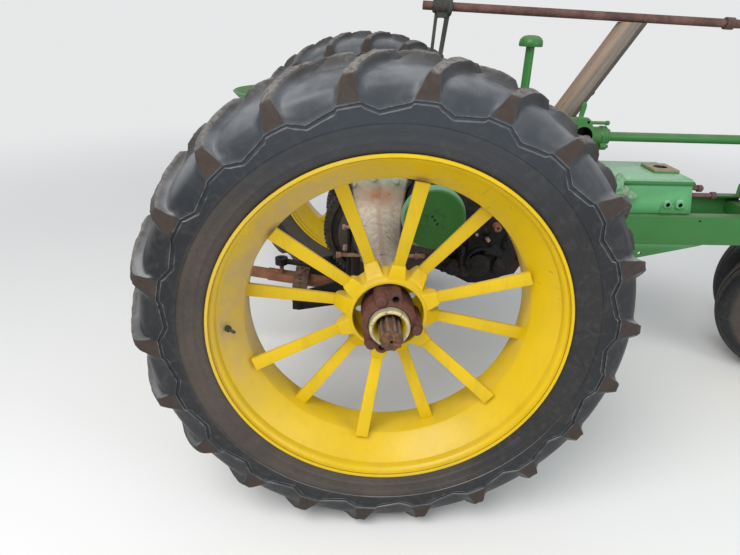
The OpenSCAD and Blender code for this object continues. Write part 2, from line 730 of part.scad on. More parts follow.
// Governor housing with its round cover missing, its neck for the fan tube, a rod and a lever
module governor_housing() {
    body_half = 100;
    flange_r = 68;
    neck_r = 46;
    bore_depth = 70;
    // The round parts of both sides: [inner or left end, length to the right]
    round_ends = [[governor_y - 36, governor_y - 36 - body_half + 20], [bore_depth - governor_y, bore_depth]];
    color(green) at_axle() difference() {
        union() {
            translate([0, body_half, 0]) rotate([90, 0, 0]) linear_extrude(2 * body_half) polygon([
                [governor_x - 102, case_top], [case_front, case_top], [governor_x + 38, case_top + 50],
                [governor_x + 38, governor_top - 14], [governor_x + 24, governor_top],
                [governor_x - 92, governor_top], [governor_x - 102, governor_top - 12]]);
            for (stub = round_ends) translate([governor_x, stub[0], governor_z]) rotate([90, 0, 0])
                cylinder(r = flange_r - 10, h = stub[1], $fn = 64);
            translate([governor_x, 18 - governor_y, governor_z]) rotate([90, 0, 0])
                cylinder(r = flange_r, h = 18, $fn = 64);
            translate([governor_x, 0, fan_z]) rotate([0, 90, 0]) cylinder(r = neck_r, h = 114);
            translate([governor_x + 90, 0, fan_z]) rotate([0, 90, 0]) cylinder(r = neck_r + 12, h = 18);
            translate([governor_x + 40, 0, fan_z + neck_r]) rotate([0, 90, 0]) cylinder(r = 8, h = 50);
            translate([governor_x - 26, 10 - governor_y, governor_z + 50]) cylinder(r = 7, h = 88);
        }
        translate([governor_x, bore_depth - governor_y, governor_z]) rotate([90, 0, 0])
            cylinder(r = governor_r, h = bore_depth + 1, $fn = 64);
        for (i = [0 : 3]) translate([governor_x, 12 - governor_y, governor_z]) rotate([90, 45 + 90 * i, 0])
            translate([flange_r - 14, 0, 0]) cylinder(r = 5, h = 14, $fn = 24);
    }
}

module fan_tube() {
    tube_rear = governor_x + 114;
    len = fan_x - 40 - tube_rear;
    color(green) at_axle() translate([tube_rear, 0, fan_z]) rotate([0, 90, 0]) difference() {
        union() {
            cylinder(r = fan_tube_r, h = len);
            cylinder(r = fan_tube_r + 12, h = 40);
            translate([0, 0, len - 50]) cylinder(r = fan_tube_r + 16, h = 50);
        }
        translate([0, 0, len - 80]) cylinder(r = fan_tube_r / 2 + running_fit, h = 81);
    }
}

module fan() {
    hub_back = -40 + clearance;
    color(greasy) at_axle() translate([fan_x, 0, fan_z]) rotate([0, 90, 0]) {
        translate([0, 0, hub_back]) cylinder(r = 42, h = 46);
        translate([0, 0, hub_back - 70]) cylinder(r = fan_tube_r / 2, h = 72);
        for (i = [0 : fan_blade_n - 1]) rotate([0, 0, i * 360 / fan_blade_n])
            translate([30, 0, 0]) rotate([28, 0, 0]) translate([0, -45, -2]) cube([fan_r - 34, 90, 4]);
    }
}

module breather() {
    cap_h = 42;
    color(green) at_axle() translate([breather_x, breather_y, 0]) {
        translate([0, 0, case_top]) cylinder(r = breather_r, h = breather_top - cap_h - case_top);
        translate([0, 0, case_top]) cylinder(r = breather_r + 16, h = 14);
        translate([0, 0, breather_top - cap_h]) rotate_extrude() polygon([
            [0, 0], [breather_r + 21, 0], for (turn = [0 : 15 : 75])
                [(breather_r + 21) * cos(turn), 8 + (cap_h - 8) * sin(turn)], [0, cap_h]]);
    }
}

// Frame

module rail_section() {
    difference() {
        square([rail_flange, rail_h]);
        translate([-1, rail_t]) square([rail_flange - rail_t + 1, rail_h - 2 * rail_t]);
    }
}

module frame_rails() {
    color(green) at_axle() for (flip = [0, 1]) mirror([0, flip, 0])
        translate([rail_rear, rail_in, rail_bottom]) rotate([90, 0, 90])
            linear_extrude(rail_front - rail_rear) rail_section();
}

module rail_plates() {
    plate_front = block_front + 92;
    color(green) at_axle() for (flip = [0, 1]) mirror([0, flip, 0]) translate([0, rail_y, 0])
        rotate([90, 0, 0]) linear_extrude(rail_t) difference() {
            polygon([
                [rail_rear, rail_bottom], [plate_front, rail_bottom], [plate_front - 20, rail_bottom - 6],
                [case_front + 160, rail_bottom - plate_drop], [rail_rear, rail_bottom - plate_drop]]);
            translate([case_front + 200, rail_bottom - plate_drop / 2]) circle(r = 9);
        }
}

// Front casting: a base between the rails, the post's bearing and the box round the steering worm
module front_support() {
    base_t = 50;
    top = steer_front_z - base_t;
    low = rail_bottom + 40;
    arm_r = 34;
    color(green) at_axle() difference() {
        union() {
            translate([rail_front - 60, rail_t - rail_y, low])
                cube([rail_to_post + 120, 2 * (rail_y - rail_t), base_t]);
            translate([kingpin_x, 0, low - 26]) cylinder(r = kingpin_r + 26, h = top - low + 26);
            translate([kingpin_x - 60, -70, top]) cube([140, 140, 110]);
            for (flip = [0, 1]) mirror([0, flip, 0]) hull() {
                translate([kingpin_x, rail_y - 60, low]) cylinder(r = arm_r, h = 10, $fn = 32);
                translate([kingpin_x, 40, top - 60]) cylinder(r = 20, h = 10, $fn = 32);
            }
        }
        translate([kingpin_x, 0, low - 60])
            cylinder(r = kingpin_r + running_fit, h = top + 100 - low, $fn = 64);
        translate([kingpin_x - 45, -52, top + 16]) cube([108, 104, 78]);
        translate([kingpin_x, 0, steer_front_z]) rotate([0, 90 + steer_slope, 0])
            translate([0, 0, -90]) cylinder(r = steer_shaft_r + running_fit, h = 60, $fn = 48);
    }
}

module radiator_core() {
    frame = 14;
    color(greasy) at_axle() translate([radiator_rear + frame, frame - radiator_half_w, tank_top])
        cube([radiator_t - 2 * frame, 2 * (radiator_half_w - frame), radiator_top - tank_h - tank_top]);
}

module radiator_tanks() {
    bottom = rail_bottom + 90;
    color(green) at_axle() {
        translate([radiator_rear, -radiator_half_w, bottom])
            cube([radiator_t, 2 * radiator_half_w, tank_top - bottom]);
        translate([radiator_rear, -radiator_half_w, radiator_top - tank_h])
            cube([radiator_t, 2 * radiator_half_w, tank_h]);
    }
}

// Steering

module on_steering_line() {
    at_axle() translate([support_x, 0, steer_rear_z]) rotate([0, 90 + steer_slope, 0]) children();
}

module steering_shaft() {
    front = (kingpin_x - support_x) / cos(steer_slope);
    color(rust) on_steering_line() {
        translate([0, 0, -steer_tail]) cylinder(r = steer_shaft_r, h = front + steer_tail + 10, $fn = 48);
        translate([0, 0, front * 0.6]) cylinder(r = steer_shaft_r + 6, h = 30);
    }
}

// Block round the steering shaft on two struts that stand on the case's cover
module steering_support() {
    foot = support_x - 39;
    pad_top = case_top + cover_t + 14;
    color(green) at_axle() difference() {
        union() {
            translate([support_x - 45, -30, steer_rear_z - 34]) cube([90, 60, 68]);
            link([foot - 8, pad_top - 8], [support_x - 22, steer_rear_z - 30], 0, 9);
            link([foot + 9, pad_top - 8], [support_x + 18, steer_rear_z - 30], 0, 9);
            translate([foot - 24, -30, case_top + cover_t]) cube([52, 60, 14]);
        }
        translate([support_x, 0, steer_rear_z]) rotate([0, 90 + steer_slope, 0])
            translate([0, 0, -100]) cylinder(r = steer_shaft_r + running_fit, h = 200, $fn = 48);
    }
}

// Plank from the governor housing's flat top to the underside of the steering shaft
module wood_prop() {
    foot = governor_x - 45;
    head = governor_x + 159;
    lean = atan2(head - foot, under_shaft(head) - governor_top);
    half = prop_w / 2 / cos(lean);
    color(timber) at_axle() upright_plate(0, prop_t) polygon([
        [foot - half, governor_top], [foot + half, governor_top],
        [head + half, under_shaft(head + half)], [head - half, under_shaft(head - half)]]);
}

// Drawbar

module drawbar() {
    front = 60;
    step = 450;
    thick = drawbar_t / 2 / cos(drawbar_fall);
    thin = drawbar_tail_t / 2;
    rod_pin = 392;
    color(rust) at_axle() {
        difference() {
            upright_plate(0, drawbar_w) polygon([
                [front, drawbar_mid(front) + thick], [-step, drawbar_mid(-step) + thick],
                    [-step, drawbar_mid(-step) + thin],
                [-drawbar_bend, thin - drawbar_z], [-drawbar_rear, thin - drawbar_z],
                [-drawbar_rear, -thin - drawbar_z], [-drawbar_bend, -thin - drawbar_z],
                [-step, drawbar_mid(-step) - thin], [-step, drawbar_mid(-step) - thick],
                    [front, drawbar_mid(front) - thick]]);
            translate([-drawbar_rear + 40, 0, -drawbar_z - drawbar_t])
                cylinder(r = hitch_r, h = drawbar_t * 2);
            translate([pivot_x, 0, drawbar_mid(pivot_x) - drawbar_t])
                cylinder(r = 14 + seat_gap, h = drawbar_t * 2);
            translate([quadrant_w / 2 - quadrant_x, 0, quadrant_z - 3 * drawbar_t])
                cylinder(r = 8 + seat_gap, h = drawbar_t * 3);
        }
        translate([-rod_pin, 0, drawbar_mid(-rod_pin)]) cylinder(r = 9, h = drawbar_t / 2 + 50);
    }
}

// Perforated plate across the drawbar, with the pin that holds it
module drawbar_quadrant() {
    middle = quadrant_w / 2 - quadrant_x;
    step = 37;
    color(rust) at_axle() {
        difference() {
            translate([-quadrant_x, -quadrant_half, quadrant_z])
                cube([quadrant_w, 2 * quadrant_half, quadrant_t]);
            for (i = [-3 : 3]) if (i != 0) translate([middle, i * step, quadrant_z - 1])
                cylinder(r = 8, h = quadrant_t + 2);
        }
        translate([middle, 0, quadrant_z - drawbar_t - 20]) cylinder(r = 8, h = drawbar_t + 24);
        translate([middle, 0, quadrant_z + quadrant_t - 1]) cylinder(r = 14, h = 10);
    }
}

// Two arms under the quadrant, the block at the drawbar's front pivot and the rod above the drawbar
module drawbar_hanger() {
    thick = drawbar_t / 2 / cos(drawbar_fall) + seat_gap;
    under_case = 22 - gear_case_r;
    arm_t = 12;
    rod_end = [-392, -202];
    color(greasy) at_axle() {
        difference() {
            union() {
                for (s = [-1, 1]) upright_plate(s * quadrant_half, arm_t) polygon([
                    [-quadrant_x, quadrant_z], [quadrant_w - quadrant_x, quadrant_z], [-90, under_case],
                        [40, under_case],
                    [40, under_case - 57], [-154, under_case - 123], [-quadrant_x + 26, under_case - 150],
                    [-quadrant_x, under_case - 146]]);
                for (s = [-1, 1]) translate([26 - quadrant_x, s * quadrant_half + 14, under_case - 128])
                    rotate([90, 0, 0]) cylinder(r = 12, h = 28);
                upright_plate(0, 120) polygon([
                    [-20, under_case], [80, under_case], [80, drawbar_mid(80) + thick],
                        [-20, drawbar_mid(-20) + thick]]);
                link([-20, under_case - 46], rod_end, 0, 12);
            }
            rotate([90, 0, 0]) translate([0, 0, -400]) cylinder(r = gear_case_r, h = 800, $fn = 96);
            translate([rod_end[0], 0, rod_end[1] - 40]) cylinder(r = 26, h = 80);
        }
        translate([rod_end[0], 0, rod_end[1] - 14]) difference() {
            cylinder(r = 27, h = 28);
            translate([0, 0, -1]) cylinder(r = 9 + seat_gap, h = 30);
        }
        translate([pivot_x, 0, drawbar_mid(pivot_x) - drawbar_t]) cylinder(r = 14, h = drawbar_t * 2);
        translate([pivot_x, 0, drawbar_mid(pivot_x) - drawbar_t - 8]) cylinder(r = 22, h = 12);
    }
}

// Seat

module seat_spring() {
    foot = case_top + cover_t;
    leaf_t = 10;
    color(rust) at_axle() upright_plate(0, 60) polygon([
        [cover_x + 2, foot], [cover_x + 26, foot], [-seat_x + 60, seat_z], [-seat_x - 60, seat_z],
        [-seat_x - 60, seat_z - leaf_t], [-seat_x + 50, seat_z - leaf_t]]);
}

module seat() {
    half = seat_w / 2;
    color(green) at_axle() translate([-seat_x, 0, seat_z]) rotate_extrude($fn = 64)
        polygon([[0, 0], [half * 0.7, 0], [half, 70], [half - 6, 74], [half * 0.66, 7], [0, 7]]);
}

// Front wheels

// Turned with the post; Z up at the post's centre line
module on_post() at_axle() translate([kingpin_x, 0, 0]) rotate([0, 0, -steer_rest]) children();

// A front wheel's middle, Z outward
module front_wheel_place(side) {
    on_post() mirror([0, side > 0 ? 1 : 0, 0])
        translate([0, -front_half_track, kingpin_low]) rotate([90 + front_lean, 0, 0]) children();
}

module front_yoke() {
    foot = kingpin_low - 40;
    color(green) {
        on_post() {
            translate([0, 0, foot]) cylinder(r = kingpin_r, h = steer_front_z - 28 - foot, $fn = 64);
            translate([0, 0, foot]) cylinder(r = kingpin_r + 12, h = 120);
            translate([0, 0, steer_front_z - 33.7]) cylinder(r = kingpin_r + 12, h = 10);
        }
        for (s = [-1, 1]) front_wheel_place(s)
            translate([0, 0, -front_half_track + 12])
                cylinder(r = spindle_r, h = front_half_track + 20, $fn = 48);
    }
}

module front_rim(side) {
    bore = spindle_r + running_fit;
    hub = spindle_r + 27;
    color(yellow) front_wheel_place(side) rotate_extrude($fn = 64) polygon([
        [bore, 50], [hub, 50], [hub, 20], [front_seat_r - 12, 8], [front_seat_r - 8, front_half_w - 16],
        [front_rim_r - 6, front_half_w - 4], [front_rim_r - 4, front_half_w], [front_rim_r, front_half_w],
        [front_rim_r, front_half_w - 6], [front_seat_r, front_half_w - 12],
            [front_seat_r, -front_half_w + 12],
        [front_rim_r, -front_half_w + 6], [front_rim_r, -front_half_w], [front_rim_r - 4, -front_half_w],
        [front_seat_r - 8, -front_half_w + 16], [front_seat_r - 12, 0], [hub, 8], [hub, -30], [bore, -30]]);
}

module front_tyre(side) {
    outer = front_tyre_outline();
    color(rubber) front_wheel_place(side) rotate_extrude($fn = 96)
        polygon(concat(outer, [for (i = [len(outer) - 1 : -1 : 0]) [outer[i][0], -outer[i][1]]]));
}

main_case();
case_cover();
axle_housing(-1);  // axle_housing_right
axle_housing(1);  // axle_housing_left
brake_covers();
bearing_housing();
cylinder_block();
head_studs();
governor_housing();
fan_tube();
breather();
frame_rails();
rail_plates();
front_support();
radiator_core();
radiator_tanks();
steering_support();
wood_prop();
drawbar();
drawbar_quadrant();
drawbar_hanger();
seat();
seat_spring();
axle_shaft(-1);  // axle_shaft_right
bull_gear(-1);  // bull_gear_right
hub_clamp(-1);  // hub_clamp_right
rear_hub(-1);  // rear_hub_right
rear_rim(-1);  // rear_rim_right
rear_tyre(-1);  // rear_tyre_right
axle_shaft(1);  // axle_shaft_left
bull_gear(1);  // bull_gear_left
hub_clamp(1);  // hub_clamp_left
rear_hub(1);  // rear_hub_left
rear_rim(1);  // rear_rim_left
rear_tyre(1);  // rear_tyre_left
crankshaft();
flywheel();
fan();
steering_shaft();
front_yoke();
front_rim(-1);  // front_rim_right
front_tyre(-1);  // front_tyre_right
front_rim(1);  // front_rim_left
front_tyre(1);  // front_tyre_left
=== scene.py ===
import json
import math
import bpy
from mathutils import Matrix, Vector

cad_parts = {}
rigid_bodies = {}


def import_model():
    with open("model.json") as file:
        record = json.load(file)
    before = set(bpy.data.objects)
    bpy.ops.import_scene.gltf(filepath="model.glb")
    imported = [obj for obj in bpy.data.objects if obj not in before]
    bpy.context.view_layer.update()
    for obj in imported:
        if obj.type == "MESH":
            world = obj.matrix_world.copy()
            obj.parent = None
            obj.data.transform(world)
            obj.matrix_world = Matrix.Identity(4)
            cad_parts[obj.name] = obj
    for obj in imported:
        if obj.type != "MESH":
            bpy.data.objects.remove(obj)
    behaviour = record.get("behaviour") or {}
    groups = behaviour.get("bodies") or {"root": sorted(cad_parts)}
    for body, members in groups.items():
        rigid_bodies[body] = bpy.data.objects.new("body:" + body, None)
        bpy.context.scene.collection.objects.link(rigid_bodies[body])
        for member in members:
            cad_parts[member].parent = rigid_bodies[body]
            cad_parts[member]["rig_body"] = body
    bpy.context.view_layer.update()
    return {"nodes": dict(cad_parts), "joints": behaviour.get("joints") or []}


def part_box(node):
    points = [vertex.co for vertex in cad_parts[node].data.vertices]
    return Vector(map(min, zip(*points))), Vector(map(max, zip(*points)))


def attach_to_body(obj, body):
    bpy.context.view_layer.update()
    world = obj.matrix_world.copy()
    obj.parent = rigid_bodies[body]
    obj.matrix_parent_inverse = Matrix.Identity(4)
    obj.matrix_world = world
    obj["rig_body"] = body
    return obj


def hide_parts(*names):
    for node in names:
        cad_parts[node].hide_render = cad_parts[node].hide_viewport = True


bl_info = {
    "name": "Row-crop tractor",
    "version": (1, 0, 0),
    "blender": (4, 5, 0),
    "location": "View3D > Sidebar > Tractor",
    "description": "Dresses the packed row-crop tractor with its tyres, castings, paint and rust",
    "category": "Object",
}

import bmesh
import bpy
from bpy.props import FloatProperty, FloatVectorProperty, IntProperty, PointerProperty
from mathutils import Matrix, Vector
from mathutils.noise import noise as perlin

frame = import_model()
NODES = frame["nodes"]


def node_centre(name):
    """Middle of a CAD node's box."""
    low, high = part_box(name)
    return (low + high) / 2


WHEEL_CENTRE = {side: node_centre("rear_rim_" + side) for side in ("right", "left")}
AXLE = Vector((WHEEL_CENTRE["right"].x, 0, WHEEL_CENTRE["right"].z))
AT_AXLE = Matrix.Translation(AXLE)


# Settings

class TyreSettings(bpy.types.PropertyGroup):
    """Sizes of the rear tyres' tread."""
    lugs: IntProperty(name="Lugs", description="Lugs on each side of a rear tyre", default=22, min=18, max=24)
    lug_height: FloatProperty(name="Lug height", description="Height of a lug above the tread", default=0.028,
                              min=0.02, max=0.036, unit="LENGTH", subtype="DISTANCE")
    sweep: FloatProperty(name="Sweep", description="Turn of a lug's outer end behind its inner end",
                         default=math.radians(7.7), unit="ROTATION", subtype="ANGLE")
    turn: FloatProperty(name="Turn", description="How far the tyres are turned from the CAD model's lugs",
                        default=math.radians(2.9), unit="ROTATION", subtype="ANGLE")
    wear: FloatProperty(name="Wear", description="Depth of the torn edges", default=0.004, min=0, max=0.01,
                        unit="LENGTH", subtype="DISTANCE")


class PaintSettings(bpy.types.PropertyGroup):
    """Colours of the paints, the bare metals and the rubber."""
    yellow: FloatVectorProperty(name="Wheel yellow", description="Paint of the wheels", subtype="COLOR",
                                default=(0.67, 0.455, 0.004), size=3, min=0, max=1)
    green: FloatVectorProperty(name="Green", description="Paint of the frame and the engine", subtype="COLOR",
                               default=(0.028, 0.158, 0.029), size=3, min=0, max=1)
    block_green: FloatVectorProperty(name="Block green", description="Paint of the cylinder block",
                                     subtype="COLOR",
                                     default=(0.095, 0.34, 0.135), size=3, min=0, max=1)
    rust: FloatVectorProperty(name="Rust", description="Rusted steel", subtype="COLOR",
                              default=(0.13, 0.055, 0.032), size=3, min=0, max=1)
    grease: FloatVectorProperty(name="Grease", description="Oily black castings", subtype="COLOR",
                                default=(0.0055, 0.0054, 0.0060), size=3, min=0, max=1)
    bare: FloatVectorProperty(name="Worn casting", description="Pale worn paint of the axle housings",
                              subtype="COLOR",
                              default=(0.66, 0.57, 0.46), size=3, min=0, max=1)
    maroon: FloatVectorProperty(name="Clamp", description="Dull rust of the hub clamps", subtype="COLOR",
                                default=(0.064, 0.024, 0.019), size=3, min=0, max=1)
    rubber: FloatVectorProperty(name="Rubber", description="Dark rubber of the tyres", subtype="COLOR",
                                default=(0.0112, 0.0124, 0.0152), size=3, min=0, max=1)
    timber: FloatVectorProperty(name="Timber", description="Weathered plank", subtype="COLOR",
                                default=(0.27, 0.20, 0.15), size=3, min=0, max=1)


class StageSettings(bpy.types.PropertyGroup):
    """Camera, floor and lamps."""
    lens: FloatProperty(name="Lens", description="Focal length of the camera", default=27.4, min=20, max=60)
    sky: FloatProperty(name="Sky", description="Strength of the soft light from all round", default=0.60,
                       min=0, max=2)
    lamp: FloatProperty(name="Lamp", description="Power of the main soft lamp", default=185, min=0, max=2000)


def paint():
    return bpy.context.scene.tractor_paint


# Node trees of the finishes

class Value:
    """A node's output. Arithmetic on it adds Math nodes to the finish that it belongs to."""

    def __init__(self, finish, socket):
        self.finish = finish
        self.socket = socket

    def __add__(self, other):
        return self.finish.maths("ADD", self, other)

    def __sub__(self, other):
        return self.finish.maths("SUBTRACT", self, other)

    def __rsub__(self, other):
        return self.finish.maths("SUBTRACT", other, self)

    def __mul__(self, other):
        return self.finish.maths("MULTIPLY", self, other)

    def __pow__(self, other):
        return self.finish.maths("POWER", self, other)

    def __abs__(self):
        return self.finish.maths("ABSOLUTE", self)


class Finish:
    """A material's node tree, with short calls for the nodes that the finishes share."""

    def __init__(self, name, rough=0.5, specular=0.5):
        self.material = bpy.data.materials.new(name)
        self.material.use_nodes = True
        self.nodes = self.material.node_tree.nodes
        self.links = self.material.node_tree.links
        self.shader = self.nodes["Principled BSDF"]
        self.set("Roughness", rough)
        self.set("Specular IOR Level", specular)
        self.place = Value(self, self.nodes.new("ShaderNodeTexCoord").outputs["Object"])

    def set(self, socket, value):
        """Sets one of the shader's own sockets, or links a node's output to it."""
        self._fill(self.shader, socket, value)

    def _fill(self, node, socket, value):
        target = node.inputs[socket]
        if isinstance(value, Value):
            self.links.new(value.socket, target)
        elif value is not None:
            target.default_value = tuple(value)[:3] + (1,) if target.type == "RGBA" else value

    def _node(self, kind, *inputs, **settings):
        """A new node with its settings, and its first inputs in order."""
        node = self.nodes.new(kind)
        for setting, value in settings.items():
            setattr(node, setting, value)
        for index, value in enumerate(inputs):
            self._fill(node, index, value)
        return node

    def maths(self, operation, a, b=None):
        return Value(self, self._node("ShaderNodeMath", a, b, operation=operation).outputs[0])

    def vector(self, operation, a, b=None):
        node = self._node("ShaderNodeVectorMath", a, b, operation=operation)
        return Value(self, node.outputs["Value" if operation == "LENGTH" else "Vector"])

    def shift(self, offset=(0, 0, 0), turn=(0, 0, 0), scale=(1, 1, 1)):
        """Object coordinates, moved so that offset is the middle, then turned and stretched."""
        node = self._node("ShaderNodeMapping", self.vector("SUBTRACT", self.place, offset))
        node.inputs["Rotation"].default_value = turn
        node.inputs["Scale"].default_value = scale
        return Value(self, node.outputs[0])

    def noise(self, scale, detail=4, rough=0.55, at=None, distortion=0.0):
        node = self._node("ShaderNodeTexNoise", at or self.place)
        for socket, value in (("Scale", scale), ("Detail", detail), ("Roughness", rough),
                              ("Distortion", distortion)):
            node.inputs[socket].default_value = value
        return Value(self, node.outputs[0])

    def cells(self, scale):
        """Distance to the nearest of many scattered points."""
        node = self._node("ShaderNodeTexVoronoi", self.place)
        node.inputs["Scale"].default_value = scale
        return Value(self, node.outputs["Distance"])

    def step(self, value, low, high, out_low=0.0, out_high=1.0, smooth=True):
        """Maps a value from low-high to out_low-out_high."""
        kind = "SMOOTHSTEP" if smooth else "LINEAR"
        node = self._node("ShaderNodeMapRange", value, low, high, out_low, out_high, interpolation_type=kind)
        return Value(self, node.outputs[0])

    def mix(self, share, a, b):
        """Colour a, with a share of colour b."""
        node = self._node("ShaderNodeMix", share, data_type="RGBA")
        self._fill(node, 6, a)
        self._fill(node, 7, b)
        return Value(self, node.outputs[2])

    def axes(self, at=None):
        """X, Y and Z of a place."""
        return [Value(self, out) for out in self._node("ShaderNodeSeparateXYZ", at or self.place).outputs]

    def join(self, x, y, z):
        return Value(self, self._node("ShaderNodeCombineXYZ", x, y, z).outputs[0])

    def radius(self, x, z):
        """Distance from the Y axis."""
        return (x * x + z * z) ** 0.5

    def darken_holes(self, base, holes):
        """Painted shade: darkens the inside of holes that run across the tractor: (forward, up, radius)
        from the rear axle."""
        for x, z, r in holes:
            flat = self.vector("MULTIPLY", self.shift(AXLE + Vector((x, 0, z))), (1, 0, 1))
            # Painted shade: near-black inside each hole's circle
            inside = self.step(self.vector("LENGTH", flat), r + 0.0008, r + 0.0002)
            base = self.mix(inside, base, (0.006, 0.007, 0.006))
        return base

    def up(self):
        """1 on faces that look up, 0 on those that look sideways or down."""
        normal = Value(self, self.nodes.new("ShaderNodeNewGeometry").outputs["Normal"])
        return self.step(self.axes(normal)[2], 0.2, 0.95)

    def own(self, attribute):
        """A number that the mesh carries at its points."""
        return Value(self, self._node("ShaderNodeAttribute", attribute_name=attribute).outputs["Fac"])

    def bump(self, height, distance, strength=1.0):
        node = self._node("ShaderNodeBump", strength, distance)
        self._fill(node, "Height", height)
        self.links.new(node.outputs[0], self.shader.inputs["Normal"])


def rubber_finish(name, centre, turn, bands, colour, rear_only=1.0):
    """Rubber with dust near the rim, painted sky reflection on its upper part and upward faces, and painted
    highlights along the pads' edges.

    bands are the radii where the dust ends and where the torn tips start, and rear_only is the dust's
    share ahead.
    """
    f = Finish(name, specular=0.33)
    at = f.shift(centre, turn)
    x, y, z = f.axes(at)
    radius = f.radius(x, z)
    patches = f.noise(7, 5, 0.6)
    fine = f.noise(90, 4, 0.6)
    streaks = f.noise(26, 4, 0.55, distortion=1.5)
    low_rear = f.step(f.maths("ADD", f.maths("MULTIPLY", x, -1.0), f.maths("MULTIPLY", z, -0.75)), -0.16,
                      0.42, rear_only, 1.0)
    dusty = f.maths("MULTIPLY", f.step(radius, bands[1], bands[0]), f.step(patches, 0.25, 0.62, 0.55, 1.0))
    dusty = f.maths("MULTIPLY", dusty, low_rear)
    tips = f.maths("MULTIPLY", f.step(radius, bands[2], bands[3]), f.step(streaks, 0.30, 0.60, 0.35, 1.0))
    tips = f.maths("MAXIMUM", tips, f.maths("MULTIPLY", f.own("torn"), 0.9))
    ends = f.maths("MULTIPLY", f.own("end_face"), f.step(streaks, 0.25, 0.60, 0.55, 0.95))
    film = f.maths("MULTIPLY", f.step(streaks, 0.46, 0.72), 0.24)
    brown = f.mix(fine, (0.058, 0.047, 0.039), (0.110, 0.088, 0.072))
    mud = f.mix(f.noise(40, 5, 0.7), (0.020, 0.016, 0.014), (0.085, 0.070, 0.058))
    base = f.mix(patches, [c * 0.65 for c in colour], [c * 1.35 for c in colour])
    base = f.mix(film, base, (0.085, 0.078, 0.072))
    # Painted reflection of the sky: upward faces paler and bluer in patches
    painted_sheen = f.maths("MULTIPLY", f.up(), f.step(patches, 0.34, 0.62, 0.30, 0.80))
    base = f.mix(painted_sheen, base, (0.27, 0.275, 0.285))
    # Painted reflection of the sky: the tyre's upper part tinted blue-grey
    base = f.mix(f.step(z, 0.26, 0.58, 0, 0.45), base, (0.056, 0.068, 0.082))
    base = f.mix(f.maths("MULTIPLY", tips, 0.75), base, mud)
    frayed = f.maths("MULTIPLY", f.maths("MULTIPLY", f.own("torn"), f.up()),
                     f.step(fine, 0.35, 0.62, 0.15, 0.75))
    base = f.mix(frayed, base, (0.22, 0.205, 0.19))
    base = f.mix(ends, base, f.mix(f.noise(55, 5, 0.65), (0.022, 0.016, 0.014), (0.072, 0.050, 0.038)))
    base = f.mix(f.maths("MULTIPLY", dusty, 0.85), base, brown)
    # Painted highlight: pale blue-grey lines along the pads' edges, with some wear
    base = f.mix(f.maths("MULTIPLY", f.own("ridge"), f.step(streaks, 0.35, 0.62, 0.08, 0.50)), base,
                 (0.23, 0.24, 0.25))
    specks = f.step(f.cells(150), 0.10, 0.04)
    base = f.mix(f.maths("MULTIPLY", specks, f.step(f.noise(12), 0.52, 0.62, 0, 0.5)), base,
                 (0.26, 0.24, 0.20))
    f.set("Base Color", base)
    matte = f.maths("MAXIMUM", f.maths("MAXIMUM", f.maths("MULTIPLY", tips, 0.8), dusty), ends)
    f.set("Roughness", f.step(f.maths("ADD", matte, f.maths("MULTIPLY", fine, 0.25)), 0.0, 1.1, 0.34, 0.86,
                              smooth=False))
    f.bump(f.maths("ADD", f.maths("MULTIPLY", fine, 0.5), f.maths("MULTIPLY", f.noise(22, 4), 1.0)), 0.0012,
           0.45)
    return f.material


def painted_finish(name, colour, rough=0.32, dust=0.30, chips=0.60, under=(0.10, 0.05, 0.032), grain=0.25,
                   grime=0.5,
                   specular=0.40, marks=None):
    """Oil paint on iron. chips is the noise level above which the paint is gone, dust the share on upward
    faces."""
    f = Finish(name, specular=specular)
    broad = f.noise(5, 4, 0.55)
    fine = f.noise(60, 5, 0.6)
    base = f.mix(broad, [c * 0.82 for c in colour], [min(1, c * 1.12) for c in colour])
    runs = f.noise(9, 5, 0.6, f.shift(scale=(4, 4, 0.8)))
    dirty = f.maths("MULTIPLY", f.step(runs, 0.50, 0.72), grime)
    base = f.mix(dirty, base, (0.095, 0.078, 0.052))
    dusted = f.maths("MULTIPLY", f.maths("MULTIPLY", f.up(), f.step(f.noise(14, 5), 0.3, 0.7, 0.35, 1)), dust)
    base = f.mix(dusted, base, (0.34, 0.30, 0.24))
    gone = f.step(f.noise(38, 6, 0.68, distortion=0.6), chips, chips + 0.03)
    gone = f.maths("MULTIPLY", gone, f.step(broad, 0.40, 0.60))
    base = f.mix(gone, base, f.mix(fine, under, [c * 2.2 for c in under]))
    if marks:
        base = marks(f, base, fine)
    f.set("Base Color", base)
    wear = f.maths("ADD", f.maths("MULTIPLY", f.maths("MAXIMUM", dusted, dirty), 0.9),
                   f.maths("MULTIPLY", gone, 0.6))
    f.set("Roughness", f.step(f.maths("ADD", wear, f.maths("MULTIPLY", fine, 0.16)), 0, 1, rough, 0.92,
                              smooth=False))
    f.bump(f.maths("SUBTRACT", f.maths("MULTIPLY", fine, grain), f.maths("MULTIPLY", gone, 0.5)), 0.0015, 0.5)
    return f.material


